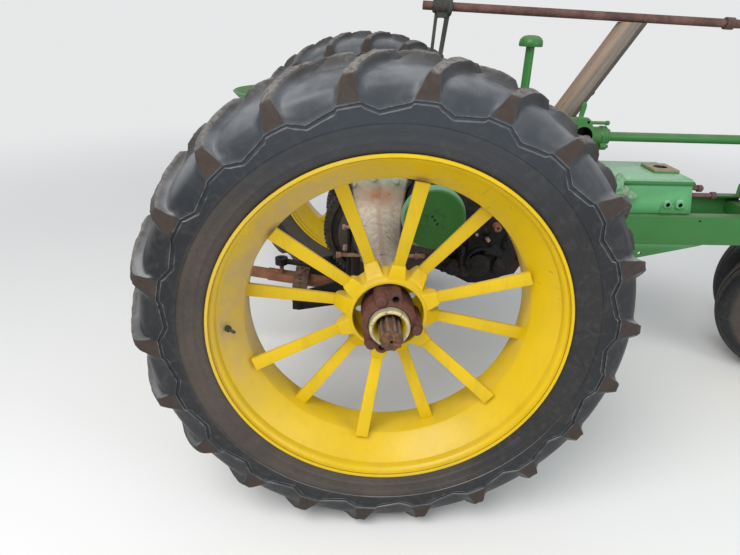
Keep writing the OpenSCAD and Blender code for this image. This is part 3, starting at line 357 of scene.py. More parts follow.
def wheel_marks(centre):
    """Tan dust in a wheel's rear and upper well, and dark scratches in its front upper part."""
    def marks(f, base, fine):
        x, y, z = f.axes(f.shift(centre))
        radius = f.radius(x, z)
        rear = f.step(f.maths("ADD", f.maths("MULTIPLY", x, -0.9), f.maths("MULTIPLY", z, 0.42)), 0.10, 0.44)
        well = f.step(radius, 0.4560, 0.4440, 0.30, 1.0)
        patch = f.step(f.noise(9, 5, 0.6), 0.30, 0.66, 0.30, 0.95)
        dust = f.maths("MULTIPLY", f.maths("MULTIPLY", rear, patch), well)
        base = f.mix(dust, base, (0.44, 0.325, 0.165))
        across = f.maths("ADD", f.maths("MULTIPLY", x, 0.80), f.maths("MULTIPLY", z, 0.60))
        along = f.maths("SUBTRACT", f.maths("MULTIPLY", x, 0.60), f.maths("MULTIPLY", z, 0.80))
        wander = f.maths("MULTIPLY", f.noise(4, 2, 0.5), 5.0)
        lines = f.maths("SINE", f.maths("ADD", f.maths("MULTIPLY",
                                                       f.maths("ADD", across, f.maths("MULTIPLY", y, 0.8)),
                                                       260), wander))
        thin = f.step(f.maths("ABSOLUTE", lines), 0.16, 0.03)
        breaks = f.noise(1, 2, 0.5, f.join(f.maths("MULTIPLY", across, 60), y,
                                           f.maths("MULTIPLY", along, 14)))
        thin = f.maths("MULTIPLY", thin, f.step(breaks, 0.54, 0.62))
        ahead = f.step(f.maths("ADD", f.maths("MULTIPLY", x, 0.75), f.maths("MULTIPLY", z, 0.66)), 0.33, 0.40)
        ahead = f.maths("MULTIPLY", ahead, f.step(radius, 0.456, 0.450))
        return f.mix(f.maths("MULTIPLY", f.maths("MULTIPLY", thin, ahead), 0.55), base, (0.20, 0.14, 0.03))
    return marks


def block_marks(f, base, fine):
    """The block's paler top (painted light, with some dust), the dark ledge round it, and the rusty pad of
    the missing water pipe, with painted shade in its hole and in the bolt holes."""
    x, y, z = f.axes(f.shift(AXLE))
    up = f.up()
    # Painted light: upward faces paler mint, with some dust
    base = f.mix(f.maths("MULTIPLY", up, f.step(fine, 0.3, 0.7, 0.45, 0.75)), base, (0.40, 0.60, 0.43))
    ledge = f.maths("MULTIPLY", f.step(z, 0.1975, 0.1995), f.maths("SUBTRACT", 1.0, up))
    base = f.mix(f.maths("MULTIPLY", ledge, 0.85), base, (0.024, 0.140, 0.028))
    pad = f.mix(f.noise(45, 5, 0.65), (0.23, 0.085, 0.045), (0.36, 0.30, 0.19))
    base = f.mix(f.step(f.maths("ADD", z, f.maths("MULTIPLY", fine, 0.012)), 0.2345, 0.2420, 0, 0.85), base,
                 pad)
    hole = f.vector("LENGTH", f.vector("MULTIPLY", f.shift(AXLE + Vector((1.148, 0, 0))), (1, 1, 0)))
    # Painted shade: dark inside the water pipe's hole
    inside = f.maths("MULTIPLY", f.step(hole, 0.0276, 0.0268), f.step(z, 0.15, 0.16))
    base = f.mix(inside, base, (0.016, 0.010, 0.008))
    low_pad = f.maths("MULTIPLY", f.step(f.maths("ABSOLUTE", y), 0.1475, 0.1485), f.step(z, 0.118, 0.112))
    base = f.mix(f.maths("MULTIPLY", low_pad, 0.8), base, (0.040, 0.190, 0.050))
    return f.darken_holes(base, [(1.128, 0.125, 0.008), (1.177, 0.125, 0.008)])


def cover_highlight(f, base, fine):
    """Painted highlight: the brake covers' side walls in a paler green, for the light on their rounded rims.
    """
    y = f.axes()[1]
    wall = f.step(f.maths("ABSOLUTE", y), 0.4475, 0.4445)
    # Painted highlight: paler greens for the lit side walls
    pale = f.mix(f.noise(18, 4), (0.13, 0.42, 0.19), (0.26, 0.52, 0.33))
    return f.mix(f.maths("MULTIPLY", wall, 0.80), base, pale)


def governor_marks(f, base, fine):
    """Painted shade in the governor's bore and in the small hole above it."""
    x, z = GOVERNOR_X / 1000, GOVERNOR_Z / 1000
    return f.darken_holes(base, [(x, z, 0.036), (x + 0.012, z + 0.053, 0.0046)])


def case_marks(f, base):
    """Brown paint left on the front part of the crankcase's sides."""
    x, y, z = f.axes(f.shift(AXLE))
    front = f.step(f.maths("ADD", x, f.maths("MULTIPLY", f.noise(14, 5, 0.6), 0.08)), 0.56, 0.60)
    brown = f.mix(f.noise(30, 5), (0.022, 0.009, 0.007), (0.062, 0.026, 0.019))
    return f.mix(f.maths("MULTIPLY", front, 0.8), base, brown)


def iron_finish(name, dark, light, rough=(0.45, 0.9), scale=18, tint=None, tint_share=0.6, grain=1.0,
                marks=None,
                specular=0.3):
    """Bare iron: two tones in patches, a second tint in blotches, and a rough cast or rusted surface."""
    f = Finish(name, specular=specular)
    patches = f.noise(scale, 6, 0.65)
    fine = f.noise(scale * 9, 5, 0.65)
    tone = f.step(f.maths("ADD", f.maths("MULTIPLY", patches, 0.75), f.maths("MULTIPLY", fine, 0.25)), 0.32,
                  0.66)
    base = f.mix(tone, dark, light)
    if tint:
        blot = f.maths("MULTIPLY", f.step(f.noise(scale * 0.6, 6, 0.7, distortion=1.0), 0.50, 0.64),
                       tint_share)
        base = f.mix(blot, base, tint)
    if marks:
        base = marks(f, base)
    f.set("Base Color", base)
    f.set("Roughness", f.step(tone, 0, 1, rough[0], rough[1], smooth=False))
    height = f.maths("ADD", f.maths("MULTIPLY", fine, 0.6), f.maths("MULTIPLY", patches, 0.5))
    f.bump(height, 0.002 * grain, 0.6)
    return f.material


def spline_finish(name, centre):
    """Brown splined steel with dark grooves, and an orange rusty end."""
    f = Finish(name, specular=0.4)
    at = f.shift(centre)
    outward = f.maths("ABSOLUTE", f.axes(at)[1])
    streaks = f.noise(70, 5, 0.65, f.shift(centre, scale=(1, 0.12, 1)))
    blots = f.noise(60, 6, 0.7, distortion=0.8)
    base = f.mix(f.step(streaks, 0.34, 0.62), (0.030, 0.020, 0.016), (0.175, 0.125, 0.098))
    base = f.mix(f.step(f.noise(24, 5, 0.6), 0.50, 0.66, 0, 0.7), base, (0.150, 0.062, 0.032))
    rust = f.mix(f.step(blots, 0.40, 0.62), (0.055, 0.026, 0.016), (0.19, 0.080, 0.030))
    rust = f.mix(f.step(f.noise(45, 5), 0.50, 0.64, 0, 0.75), rust, (0.060, 0.038, 0.030))
    base = f.mix(f.step(outward, 0.1465, 0.1495), base, rust)
    f.set("Base Color", base)
    f.set("Roughness", f.step(streaks, 0.3, 0.7, 0.55, 0.88))
    f.bump(f.maths("ADD", streaks, blots), 0.0018, 0.6)
    return f.material


def collar_finish(name, centre, yellow):
    """Split collar: yellow inside its cone, cream where the paint is worn on the lip, and dirty round the
    outside."""
    f = Finish(name, specular=0.4)
    x, y, z = f.axes(f.shift(centre))
    radius = f.radius(x, z)
    worn = f.noise(34, 5, 0.65)
    cream = f.mix(f.step(worn, 0.40, 0.62), (0.62, 0.54, 0.27), (0.42, 0.35, 0.21))
    base = f.mix(f.step(f.maths("ADD", radius, f.maths("MULTIPLY", worn, 0.008)), 0.0470, 0.0490), yellow,
                 cream)
    base = f.mix(f.step(f.noise(80, 5, 0.7), 0.55, 0.66, 0, 0.8), base, (0.10, 0.075, 0.05))
    base = f.mix(f.step(radius, 0.0535, 0.0555, 0, 0.75), base, (0.23, 0.21, 0.15))
    f.set("Base Color", base)
    f.set("Roughness", f.step(worn, 0.3, 0.7, 0.42, 0.75))
    f.bump(f.noise(90, 4), 0.0008, 0.5)
    return f.material


def housing_finish(name, colour):
    """Worn pale paint of the axle housings: mint above, rust down the middle, and greasy by the case."""
    f = Finish(name, specular=0.35)
    x, y, z = f.axes(f.shift(AXLE))
    broad = f.noise(11, 6, 0.62)
    fine = f.noise(110, 5, 0.65)
    spots = f.noise(42, 6, 0.7)
    runs = f.noise(15, 6, 0.66, f.shift(scale=(2.6, 1.0, 0.55)), distortion=0.8)
    base = f.mix(f.step(spots, 0.32, 0.68), [c * 0.76 for c in colour], [min(1, c * 1.12) for c in colour])
    height = f.maths("ADD", z, f.maths("MULTIPLY", f.maths("SUBTRACT", broad, 0.5), 0.10))
    base = f.mix(f.step(height, 0.090, 0.160, 0, 0.75), base, f.mix(runs, (0.32, 0.25, 0.19),
                                                                    (0.46, 0.37, 0.28)))
    mint = f.maths("MULTIPLY", f.step(f.maths("ABSOLUTE", f.maths("SUBTRACT", height, 0.205)), 0.044, 0.008),
                   f.step(runs, 0.34, 0.56, 0.35, 0.90))
    base = f.mix(mint, base, f.mix(f.step(height, 0.165, 0.200), (0.140, 0.190, 0.135), (0.36, 0.43, 0.34)))
    base = f.mix(f.step(f.noise(70, 5, 0.7), 0.50, 0.62, 0, 0.45), base, (0.50, 0.34, 0.26))
    patch = f.maths("MULTIPLY", f.step(f.maths("ABSOLUTE", f.maths("SUBTRACT", z, 0.150)), 0.050, 0.004),
                    f.step(f.maths("ABSOLUTE", x), 0.075, 0.006))
    patch = f.maths("MULTIPLY", patch, f.step(spots, 0.34, 0.60, 0.10, 0.85))
    base = f.mix(patch, base, (0.42, 0.17, 0.07))
    seam = f.maths("MULTIPLY", f.step(f.maths("ABSOLUTE", x), 0.014, 0.003),
                   f.step(spots, 0.40, 0.60, 0.10, 0.50))
    base = f.mix(seam, base, (0.38, 0.17, 0.10))
    base = f.mix(f.step(f.noise(34, 6, 0.7), 0.60, 0.68, 0, 0.7), base, (0.085, 0.060, 0.050))
    # Pale only in front of the axle's middle: an upright band that widens upward
    band = f.maths("SUBTRACT", f.maths("ABSOLUTE", x), f.maths("MULTIPLY", z, 0.13))
    aside = f.step(f.maths("ADD", band, f.maths("MULTIPLY", spots, 0.012)), 0.072, 0.086)
    case_side = f.maths("MULTIPLY", f.step(f.maths("ABSOLUTE", y), 0.2165, 0.2125), f.step(z, 0.07, 0.03))
    case_side = f.maths("MAXIMUM", case_side, aside)
    base = f.mix(f.maths("MULTIPLY", case_side, 0.95), base, f.mix(broad, (0.010, 0.009, 0.009),
                                                                   (0.045, 0.030, 0.022)))
    f.set("Base Color", base)
    f.set("Roughness", f.step(fine, 0.3, 0.7, 0.62, 0.92))
    f.bump(f.maths("ADD", fine, f.maths("MULTIPLY", runs, 0.5)), 0.0010, 0.5)
    return f.material


PROP_MIDDLE = Vector((0.707, 0, 0.424))
PROP_LEAN = math.radians(-31)


def timber_finish(name, colour, lean):
    """Weathered plank: a pale rear edge, a grey face, and grain and splits along its length."""
    f = Finish(name, specular=0.2)
    at = f.shift(AXLE + PROP_MIDDLE, (0, lean, 0))
    grain = f.vector("MULTIPLY", at, (9, 9, 0.42))
    fibres = f.noise(13, 7, 0.68, grain, distortion=0.4)
    hair = f.noise(60, 5, 0.7, grain)
    across = f.axes(at)[0]
    wander = f.maths("ADD", across, f.maths("MULTIPLY", f.maths("SUBTRACT", fibres, 0.5), 0.03))
    face = f.mix(fibres, (0.075, 0.060, 0.050), (0.33, 0.29, 0.245))
    edge = f.mix(fibres, [c * 0.7 for c in colour], [min(1, c * 1.45) for c in colour])
    base = f.mix(f.step(wander, -0.020, -0.010), edge, face)
    base = f.mix(f.step(wander, 0.016, 0.024, 0, 0.75), base, (0.045, 0.036, 0.030))
    base = f.mix(f.step(fibres, 0.37, 0.31, 0, 0.85), base, (0.032, 0.023, 0.018))
    f.set("Base Color", base)
    f.set("Roughness", 0.88)
    f.bump(f.maths("ADD", fibres, f.maths("MULTIPLY", hair, 0.4)), 0.004, 0.8)
    return f.material


FIN_PITCH, TUBE_PITCH = 0.0032, 0.012


def core_finish(name):
    """Radiator core: upright tubes crossed by thin fins."""
    f = Finish(name, specular=0.4)
    x, y, z = f.axes()
    fins = f.maths("SINE", f.maths("MULTIPLY", z, 2 * math.pi / FIN_PITCH))
    tubes = f.maths("SINE", f.maths("MULTIPLY", y, 2 * math.pi / TUBE_PITCH))
    weave = f.maths("ADD", f.maths("MULTIPLY", fins, 0.3), f.maths("MULTIPLY", tubes, 0.7))
    base = f.mix(f.step(weave, -0.6, 0.8), (0.010, 0.010, 0.011), (0.055, 0.052, 0.050))
    f.set("Base Color", f.mix(f.step(f.noise(9, 5), 0.45, 0.7, 0, 0.5), base, (0.12, 0.08, 0.055)))
    f.set("Roughness", 0.6)
    f.bump(weave, 0.0015, 0.8)
    return f.material


# Paints: material's name, the setting that its colour comes from, and how it differs from painted_finish's
# own values
WHEEL_PAINT = dict(dust=0.10, chips=0.74, grime=0.08, grain=0.05, specular=0.30)
GREEN_PAINT = dict(rough=0.34, dust=0.26, chips=0.68, grime=0.22, grain=0.25)
PAINTS = {
    "yellow": ("yellow_paint", "yellow", dict(WHEEL_PAINT, rough=0.26)),
    "cast_yellow": ("yellow_cast_paint", "yellow",
                    dict(rough=0.34, dust=0.14, chips=0.72, grime=0.12, grain=0.35, specular=0.30)),
    "green": ("green_paint", "green", GREEN_PAINT),
    "governor": ("governor_paint", "green", dict(GREEN_PAINT, marks=governor_marks)),
    "block": ("block_paint", "block_green",
              dict(rough=0.42, dust=0.15, chips=0.66, grime=0.12, grain=0.9, marks=block_marks)),
}
# Irons of fixed colours: material's name, dark and light tone, roughness, scale, second tint and its share
IRONS = {
    "olive": ("olive_iron", (0.016, 0.020, 0.017), (0.060, 0.066, 0.056), (0.5, 0.85), 20,
              (0.075, 0.040, 0.030), 0.5),
    "shaft": ("brown_shaft", (0.064, 0.033, 0.028), (0.170, 0.092, 0.078), (0.6, 0.9), 20,
              (0.060, 0.034, 0.028), 0.4),
    "bolt": ("pale_rust", (0.20, 0.105, 0.075), (0.48, 0.32, 0.25), (0.7, 0.95), 30, (0.16, 0.070, 0.042),
             0.5),
    "gear": ("gear_steel", (0.014, 0.013, 0.013), (0.045, 0.038, 0.034), (0.25, 0.6), 30,
             (0.090, 0.055, 0.035), 0.35),
    "brown": ("brown_iron", (0.060, 0.036, 0.026), (0.165, 0.100, 0.066), (0.65, 0.95), 22,
              (0.24, 0.15, 0.095), 0.4),
}


def make_finishes():
    """All finishes by name."""
    p = paint()
    yellow, grease, rubber = tuple(p.yellow), tuple(p.grease), tuple(p.rubber)
    finishes = {key: painted_finish(name, tuple(getattr(p, colour)), **wear)
                for key, (name, colour, wear) in PAINTS.items()}
    finishes.update({key: iron_finish(*values) for key, values in IRONS.items()})
    finishes.update({
        # The brake covers carry the frame's green, made 1.25 times lighter here as painted light
        "cover": painted_finish("cover_paint", [c * 1.25 for c in p.green], rough=0.36, dust=0.30, chips=0.76,
                                grime=0.15, grain=0.2, marks=cover_highlight),
        "fitting": painted_finish("fitting_paint", (0.16, 0.36, 0.19), rough=0.6, dust=0.6, chips=0.52,
                                  grime=0.5,
                                  grain=1.6, under=(0.10, 0.09, 0.06)),
        "grease": iron_finish("greasy_iron", grease, (0.020, 0.019, 0.020), (0.25, 0.78), 16,
                              (0.044, 0.030, 0.022), 0.45, specular=0.20),
        "case": iron_finish("case_iron", grease, (0.017, 0.016, 0.017), (0.30, 0.8), 16,
                            (0.040, 0.027, 0.020), 0.4, marks=case_marks, specular=0.18),
        "rust": iron_finish("rusty_steel", tuple(p.rust), [c * 2.3 for c in p.rust], (0.72, 0.95), 24,
                            (0.32, 0.135, 0.060), 0.55),
        "maroon": iron_finish("maroon_casting", tuple(p.maroon), [c * 2.1 for c in p.maroon], (0.42, 0.78),
                              26,
                              (0.055, 0.030, 0.026), 0.5),
        "housing": housing_finish("worn_casting", tuple(p.bare)),
        "timber": timber_finish("weathered_wood", tuple(p.timber), PROP_LEAN),
        "core": core_finish("radiator_core"),
    })
    for side, centre in WHEEL_CENTRE.items():
        finishes["rim_" + side] = painted_finish("rim_paint_" + side, yellow, rough=0.24,
                                                 marks=wheel_marks(centre),
                                                 **WHEEL_PAINT)
        finishes["spline_" + side] = spline_finish("spline_steel_" + side, centre)
        finishes["collar_" + side] = collar_finish("collar_paint_" + side, centre, yellow)
        finishes["tyre_" + side] = rubber_finish("tyre_rubber_" + side, centre, (0, 0, 0),
                                                 (0.535, 0.556, 0.655, 0.682), rubber, 0.12)
        finishes["front_tyre_" + side] = rubber_finish("front_rubber_" + side,
                                                       node_centre("front_tyre_" + side),
                                                       front_turn(side), (0.255, 0.285, 0.318, 0.330), rubber)
    return finishes


FRONT_LEAN, FRONT_STEER = math.radians(8), math.radians(30)


def front_turn(side):
    """Turn that brings a front wheel's axis onto Y, as angles for a Mapping node."""
    return (-FRONT_LEAN if side == "right" else FRONT_LEAN, 0, FRONT_STEER)


# Meshes

def new_object(name, data):
    """An object in the scene's own collection."""
    item = bpy.data.objects.new(name, data)
    bpy.context.scene.collection.objects.link(item)
    return item


def place_object(name, mesh, body, finish, stands_for=()):
    """Puts a finished mesh in the scene as a piece that rides on a CAD body."""
    old = bpy.data.objects.get(name)
    if old:
        bpy.data.objects.remove(old, do_unlink=True)
    piece = new_object(name, mesh)
    if not mesh.materials:
        mesh.materials.append(finish)
    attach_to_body(piece, body)
    if stands_for:
        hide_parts(*stands_for)


def smooth(mesh, degrees):
    """Smooth shading with sharp edges past an angle."""
    mesh.polygons.foreach_set("use_smooth", [True] * len(mesh.polygons))
    mesh.set_sharp_from_angle(angle=math.radians(degrees))
    return mesh


def mesh_of(bm, name):
    """A mesh from a bmesh, which it frees."""
    mesh = bpy.data.meshes.new(name)
    bm.to_mesh(mesh)
    bm.free()
    return mesh


def from_bmesh(bm, name, degrees):
    bmesh.ops.recalc_face_normals(bm, faces=bm.faces)
    return smooth(mesh_of(bm, name), degrees)


def applied(mesh, name, add_modifiers):
    """A plain mesh with modifiers applied. add_modifiers gets the temporary object."""
    holder = new_object(name + "_work", mesh)
    add_modifiers(holder)
    bpy.context.view_layer.update()
    result = bpy.data.meshes.new_from_object(holder.evaluated_get(bpy.context.evaluated_depsgraph_get()))
    holder.modifiers.clear()
    bpy.data.objects.remove(holder, do_unlink=True)
    result.name = name
    return result


def rounded_copy(node, radius):
    """A copy of a CAD node's mesh with its triangles joined and its sharp edges rounded, as a casting's
    are."""
    bm = bmesh.new()
    bm.from_mesh(NODES[node].data)
    bmesh.ops.remove_doubles(bm, verts=bm.verts, dist=1e-5)
    bmesh.ops.dissolve_limit(bm, angle_limit=math.radians(0.6), verts=bm.verts, edges=bm.edges)

    def add(holder):
        bevel = holder.modifiers.new("edges", "BEVEL")
        bevel.limit_method = "ANGLE"
        bevel.angle_limit = math.radians(32)
        bevel.width = radius
        bevel.segments = 2

    return smooth(applied(mesh_of(bm, node + "_cast"), node + "_cast", add), 40)


def widen_bore(mesh, reach, gap):
    """Opens the rear axle's bore a little, so that its flat facets stay clear of a turning shaft's."""
    for vert in mesh.vertices:
        radius = math.hypot(vert.co.x - AXLE.x, vert.co.z - AXLE.z)
        if radius < reach:
            vert.co.x = AXLE.x + (vert.co.x - AXLE.x) * (radius + gap) / radius
            vert.co.z = AXLE.z + (vert.co.z - AXLE.z) * (radius + gap) / radius


# Nodes that repeat a part round a wheel, and their links: node and output, node and input
RING_NODES = {
    "inputs": "NodeGroupInput", "output": "NodeGroupOutput", "line": "GeometryNodeMeshLine",
    "info": "GeometryNodeObjectInfo", "copies": "GeometryNodeInstanceOnPoints",
    "index": "GeometryNodeInputIndex",
    "share": "ShaderNodeMath", "turn": "ShaderNodeMath", "angles": "ShaderNodeCombineXYZ",
    "real": "GeometryNodeRealizeInstances", "weld": "GeometryNodeMergeByDistance",
    "finish": "GeometryNodeSetMaterial",
}
RING_LINKS = (
    ("inputs", "Count", "line", "Count"), ("inputs", "Part", "info", "Object"),
    ("line", 0, "copies", "Points"),
    ("info", "Geometry", "copies", "Instance"), ("index", 0, "share", 0), ("inputs", "Count", "share", 1),
    ("share", 0, "turn", 0), ("turn", 0, "angles", "Y"), ("angles", 0, "copies", "Rotation"),
    ("copies", 0, "real", 0), ("real", 0, "weld", "Geometry"), ("inputs", "Merge Distance", "weld",
                                                                "Distance"),
    ("weld", 0, "finish", "Geometry"), ("inputs", "Finish", "finish", "Material"), ("finish", 0, "output", 0),
)


def repeat_round(part, count, name, merge):
    """Repeats a mesh round the Y axis with Geometry Nodes and joins the copies into one mesh."""
    tree = bpy.data.node_groups.new(name + "_ring", "GeometryNodeTree")
    face = tree.interface
    for label, kind in (("Part", "Object"), ("Count", "Int"), ("Merge Distance", "Float"),
                        ("Finish", "Material")):
        face.new_socket(label, in_out="INPUT", socket_type="NodeSocket" + kind)
    face.new_socket("Geometry", in_out="OUTPUT", socket_type="NodeSocketGeometry")
    nodes = {key: tree.nodes.new(kind) for key, kind in RING_NODES.items()}
    nodes["line"].inputs["Offset"].default_value = (0, 0, 0)
    nodes["share"].operation = "DIVIDE"
    nodes["turn"].operation = "MULTIPLY"
    nodes["turn"].inputs[1].default_value = 2 * math.pi
    for source, out, target, into in RING_LINKS:
        tree.links.new(nodes[source].outputs[out], nodes[target].inputs[into])
    source = new_object(name + "_part", part)

    def attach(holder):
        modifier = holder.modifiers.new("ring", "NODES")
        modifier.node_group = tree
        sockets = {s.name: s.identifier for s in face.items_tree if s.in_out == "INPUT"}
        modifier[sockets["Part"]] = source
        modifier[sockets["Count"]] = count
        modifier[sockets["Merge Distance"]] = merge

    result = applied(bpy.data.meshes.new(name + "_empty"), name, attach)
    bpy.data.objects.remove(source, do_unlink=True)
    result.materials.clear()
    return result


def mm(*values):
    return Vector(values) / 1000


def wheel_matrix(side):
    """From a wheel's own axes, Y outward, to the tractor's."""
    mirror = Matrix.Scale(-1, 4, (0, 1, 0)) if side == "right" else Matrix.Identity(4)
    return Matrix.Translation(WHEEL_CENTRE[side]) @ mirror


def y_to(direction):
    """Matrix that turns the Y axis onto a direction."""
    return Vector((0, 1, 0)).rotation_difference(Vector(direction)).to_matrix().to_4x4()


def ring(bm, outline, steps=96, centre=(0, 0), start=0, sweep=360):
    """A closed outline of (radius, outward) turned round the Y axis through centre, all the way or part of
    it."""
    whole = sweep == 360
    count = steps if whole else steps + 1
    rings = []
    for i in range(count):
        angle = math.radians(start + sweep * i / steps)
        rings.append([bm.verts.new(mm(centre[0] + r * math.cos(angle), y, centre[1] + r * math.sin(angle)))
                      for r, y in outline])
    pairs = list(zip(rings, rings[1:])) + ([(rings[-1], rings[0])] if whole else [])
    for a, b in pairs:
        for k in range(len(outline)):
            bm.faces.new((a[k], a[(k + 1) % len(outline)], b[(k + 1) % len(outline)], b[k]))
    if not whole:
        bm.faces.new(rings[0])
        bm.faces.new(rings[-1])


def solid_ring(bm, outline, steps, centre=(0, 0)):
    """A ring whose outline may touch its axis, with the points there merged. Gives its points."""
    before = set(bm.verts)
    ring(bm, outline, steps, centre)
    bmesh.ops.remove_doubles(bm, verts=[v for v in bm.verts if v not in before], dist=1e-6)
    return [v for v in bm.verts if v not in before]


def turned(bm, outline, start, direction, steps=40):
    """A solid of revolution about a line. outline is (radius, distance along the line) and may touch the
    line."""
    verts = solid_ring(bm, outline, steps)
    bmesh.ops.transform(bm, matrix=Matrix.Translation(mm(*start)) @ y_to(direction), verts=verts)


def bar(bm, start, end, r, edge=1.2, steps=28):
    """A round bar between two points."""
    line = Vector(end) - Vector(start)
    turned(bm, [(0, 0), (r - edge, 0), (r, edge), (r, line.length - edge), (r - edge, line.length),
                (0, line.length)],
           start, line, steps)


def rod(bm, degrees, radius, r, low, high, steps=32, edge=0):
    """A round bar along Y at an angle and radius of the wheel, with an edge radius at its outward end."""
    a = math.radians(degrees)
    top = [(r, high - edge), (r - edge * 0.3, high - edge * 0.3), (r - edge, high)] if edge else [(r, high)]
    solid_ring(bm, [(0, low), (r, low)] + top + [(0, high)], steps,
               (radius * math.cos(a), radius * math.sin(a)))


def slab(bm, outline, low, high):
    """A plate in an upright plane, from an outline of (forward, up), between two distances to the left."""
    ends = [[bm.verts.new(mm(x, y, z)) for x, z in outline] for y in (low, high)]
    for k in range(len(outline)):
        n = (k + 1) % len(outline)
        bm.faces.new((ends[0][k], ends[0][n], ends[1][n], ends[1][k]))
    for end in ends:
        bm.faces.new(end)


def lump(bm, centre, size, rough, seed):
    """A rough casting's rounded lump."""
    for vert in bmesh.ops.create_icosphere(bm, subdivisions=5, radius=1)["verts"]:
        push = perlin(vert.co * 1.6 + Vector((seed, 0,
                                              0))) + 0.45 * perlin(vert.co * 4.5 + Vector((0, seed, 0)))
        vert.co = mm(*(c + s * n * (1 + rough * push) for c, s, n in zip(centre, size, vert.co)))


def spoke_frame(degrees):
    """Matrix that turns (along, across, outward) into a wheel's own axes at an angle."""
    c, s = math.cos(math.radians(degrees)), math.sin(math.radians(degrees))
    return Matrix(((c, -s, 0, 0), (0, 0, 1, 0), (s, c, 0, 0), (0, 0, 0, 1)))


def loft(bm, sections, frame_):
    """A closed solid through rectangles (along, half width, low, high)."""
    rings = [[bm.verts.new(frame_ @ mm(r, *corner)) for corner in ((-w, lo), (w, lo), (w, hi), (-w, hi))]
             for r, w, lo, hi in sections]
    for a, b in zip(rings, rings[1:]):
        for k in range(4):
            bm.faces.new((a[k], a[(k + 1) % 4], b[(k + 1) % 4], b[k]))
    bm.faces.new(rings[0])
    bm.faces.new(rings[-1])


def plain_mesh(name, *builders):
    """A mesh from functions that add closed solids to a bmesh."""
    bm = bmesh.new()
    for build in builders:
        build(bm)
    bmesh.ops.recalc_face_normals(bm, faces=bm.faces)
    return mesh_of(bm, name)


def cut_out(mesh, name, build, matrix=None):
    """A mesh less the solids that build adds."""
    cutter = plain_mesh(name + "_holes", build)
    if matrix:
        cutter.transform(matrix)
    holes = new_object(name + "_holes", cutter)

    def add(holder):
        cut = holder.modifiers.new("holes", "BOOLEAN")
        cut.operation = "DIFFERENCE"
        cut.solver = "EXACT"
        cut.object = holes

    result = applied(mesh, name, add)
    bpy.data.objects.remove(holes, do_unlink=True)
    return result


def cast_together(mesh, name, voxel, passes):
    """Joins overlapping solids into one skin with soft inner corners, as in a casting."""
    def add(holder):
        remesh = holder.modifiers.new("skin", "REMESH")
        remesh.mode = "VOXEL"
        remesh.voxel_size = voxel
        soften = holder.modifiers.new("soften", "SMOOTH")
        soften.factor = 0.5
        soften.iterations = passes

    return applied(mesh, name, add)


def joined(name, meshes, matrix, degrees=38):
    """One mesh from several, moved by a matrix."""
    bm = bmesh.new()
    for mesh in meshes:
        bm.from_mesh(mesh)
    bmesh.ops.transform(bm, matrix=matrix, verts=bm.verts)
    return from_bmesh(bm, name, degrees)


# Rear tyres

# Half of a rear tyre's section from the middle outward, in millimetres. Each row is outward and radius
# between the
# lugs, outward and radius on a lug, and how far the pads' slanted lower edge lifts the row
TREAD_ROWS = [
    (8, 662, 8, 689.6, 0), (14, 662, 14, 689.4, 0), (20, 662, 20, 689, 0), (26, 661.8, 26, 688.5, 0),
    (40, 660.5, 40, 687, 0), (54, 658.6, 54, 685, 0), (68, 656.4, 68, 682.4, 0), (82, 653.6, 82, 679.2, 0),
    (95, 649.6, 95, 675.4, 0), (106, 645, 106, 671.4, 0), (115, 640, 115, 667, 0),
    (122, 634.5, 122, 662.6, 0),
    (126.2, 629.5, 126.5, 659, 0), (128.4, 626, 129.2, 656.6, 0), (130.6, 620, 130.4, 653.6, 0.1),
    (132.6, 613, 132.6, 645, 0.25), (134.6, 605, 135, 632, 0.5), (136.8, 596, 137.4, 618, 0.75),
    (138.8, 586.8, 139.6, 605, 1), (140.2, 580.4, 141, 598.8, 1), (141.5, 577.4, 141.9, 596.6, 1),
    (142, 575.6, 142.3, 595, 1), (141.3, 574, 141.7, 593.6, 1), (139.4, 573, 139.9, 592.8, 1),
    (139.9, 566.6, 140.3, 588.8, 1), (141.6, 565.2, 141.9, 587.6, 1), (142.1, 563.6, 142.3, 586.2, 1),
    (141.5, 562, 141.8, 584.8, 1), (141.8, 557, 142, 571.5, 0.45), (142.6, 551.8, 142.6, 553.4, 0.1),
]
# The rest of the section, down the plain sidewall to the bead, as (outward, radius)
SIDEWALL = [
    (142.6, 548.6), (142.2, 547), (140.4, 545.8), (140.3, 540), (139.9, 533), (139.1, 531.6), (139.3, 529.6),
    (138.3, 528.2), (137.2, 518), (135.6, 508), (136.2, 506.4), (135.8, 504.4), (134.6, 503), (132.6, 495),
    (130, 487),
    (127.4, 481), (124, 477.4), (119, 470), (114, 464.6), (70, 464.2),
]
# Rows along the pads' two edges, painted paler: a painted edge highlight, with some wear
RIDGES = ((142, 575.6), (142.1, 563.6))
# Radius at the top and the foot of a lug's outer end face, and the distance out to the shoulder
END_TOP, END_FOOT = 656.6, 596.6
SHOULDER = 130
# Lines from a lug's middle to the end of its flank: share of its half top, share of its flank, height
LUG_PROFILE = [(0, 0, 1), (0.5, 0, 1), (0.88, 0, 1), (1, 0, 0.93), (1, 0.2, 0.60), (1, 0.42, 0.32),
               (1, 0.7, 0.11),
               (1, 1, 0)]
LINES_PER_HALF = 13
# Lift of the pads' lower edge in millimetres, by the share of a pitch ahead of the lug
PAD_EDGE = [(0, 19.2), (0.10, 19.2), (0.33, 0), (0.60, 9), (0.78, 16.5), (1, 19.2)]


def lug_widths(share, down, steep):
    """Half top and half foot of a lug, as shares of the pitch, at a share of its length and down its end
    face."""
    if steep:
        return 0.085 - 0.023 * share + 0.036 * down, 0.130 - 0.012 * share + 0.030 * down
    return 0.095 - 0.010 * share + 0.145 * down, 0.160 + 0.085 * share + 0.030 * down


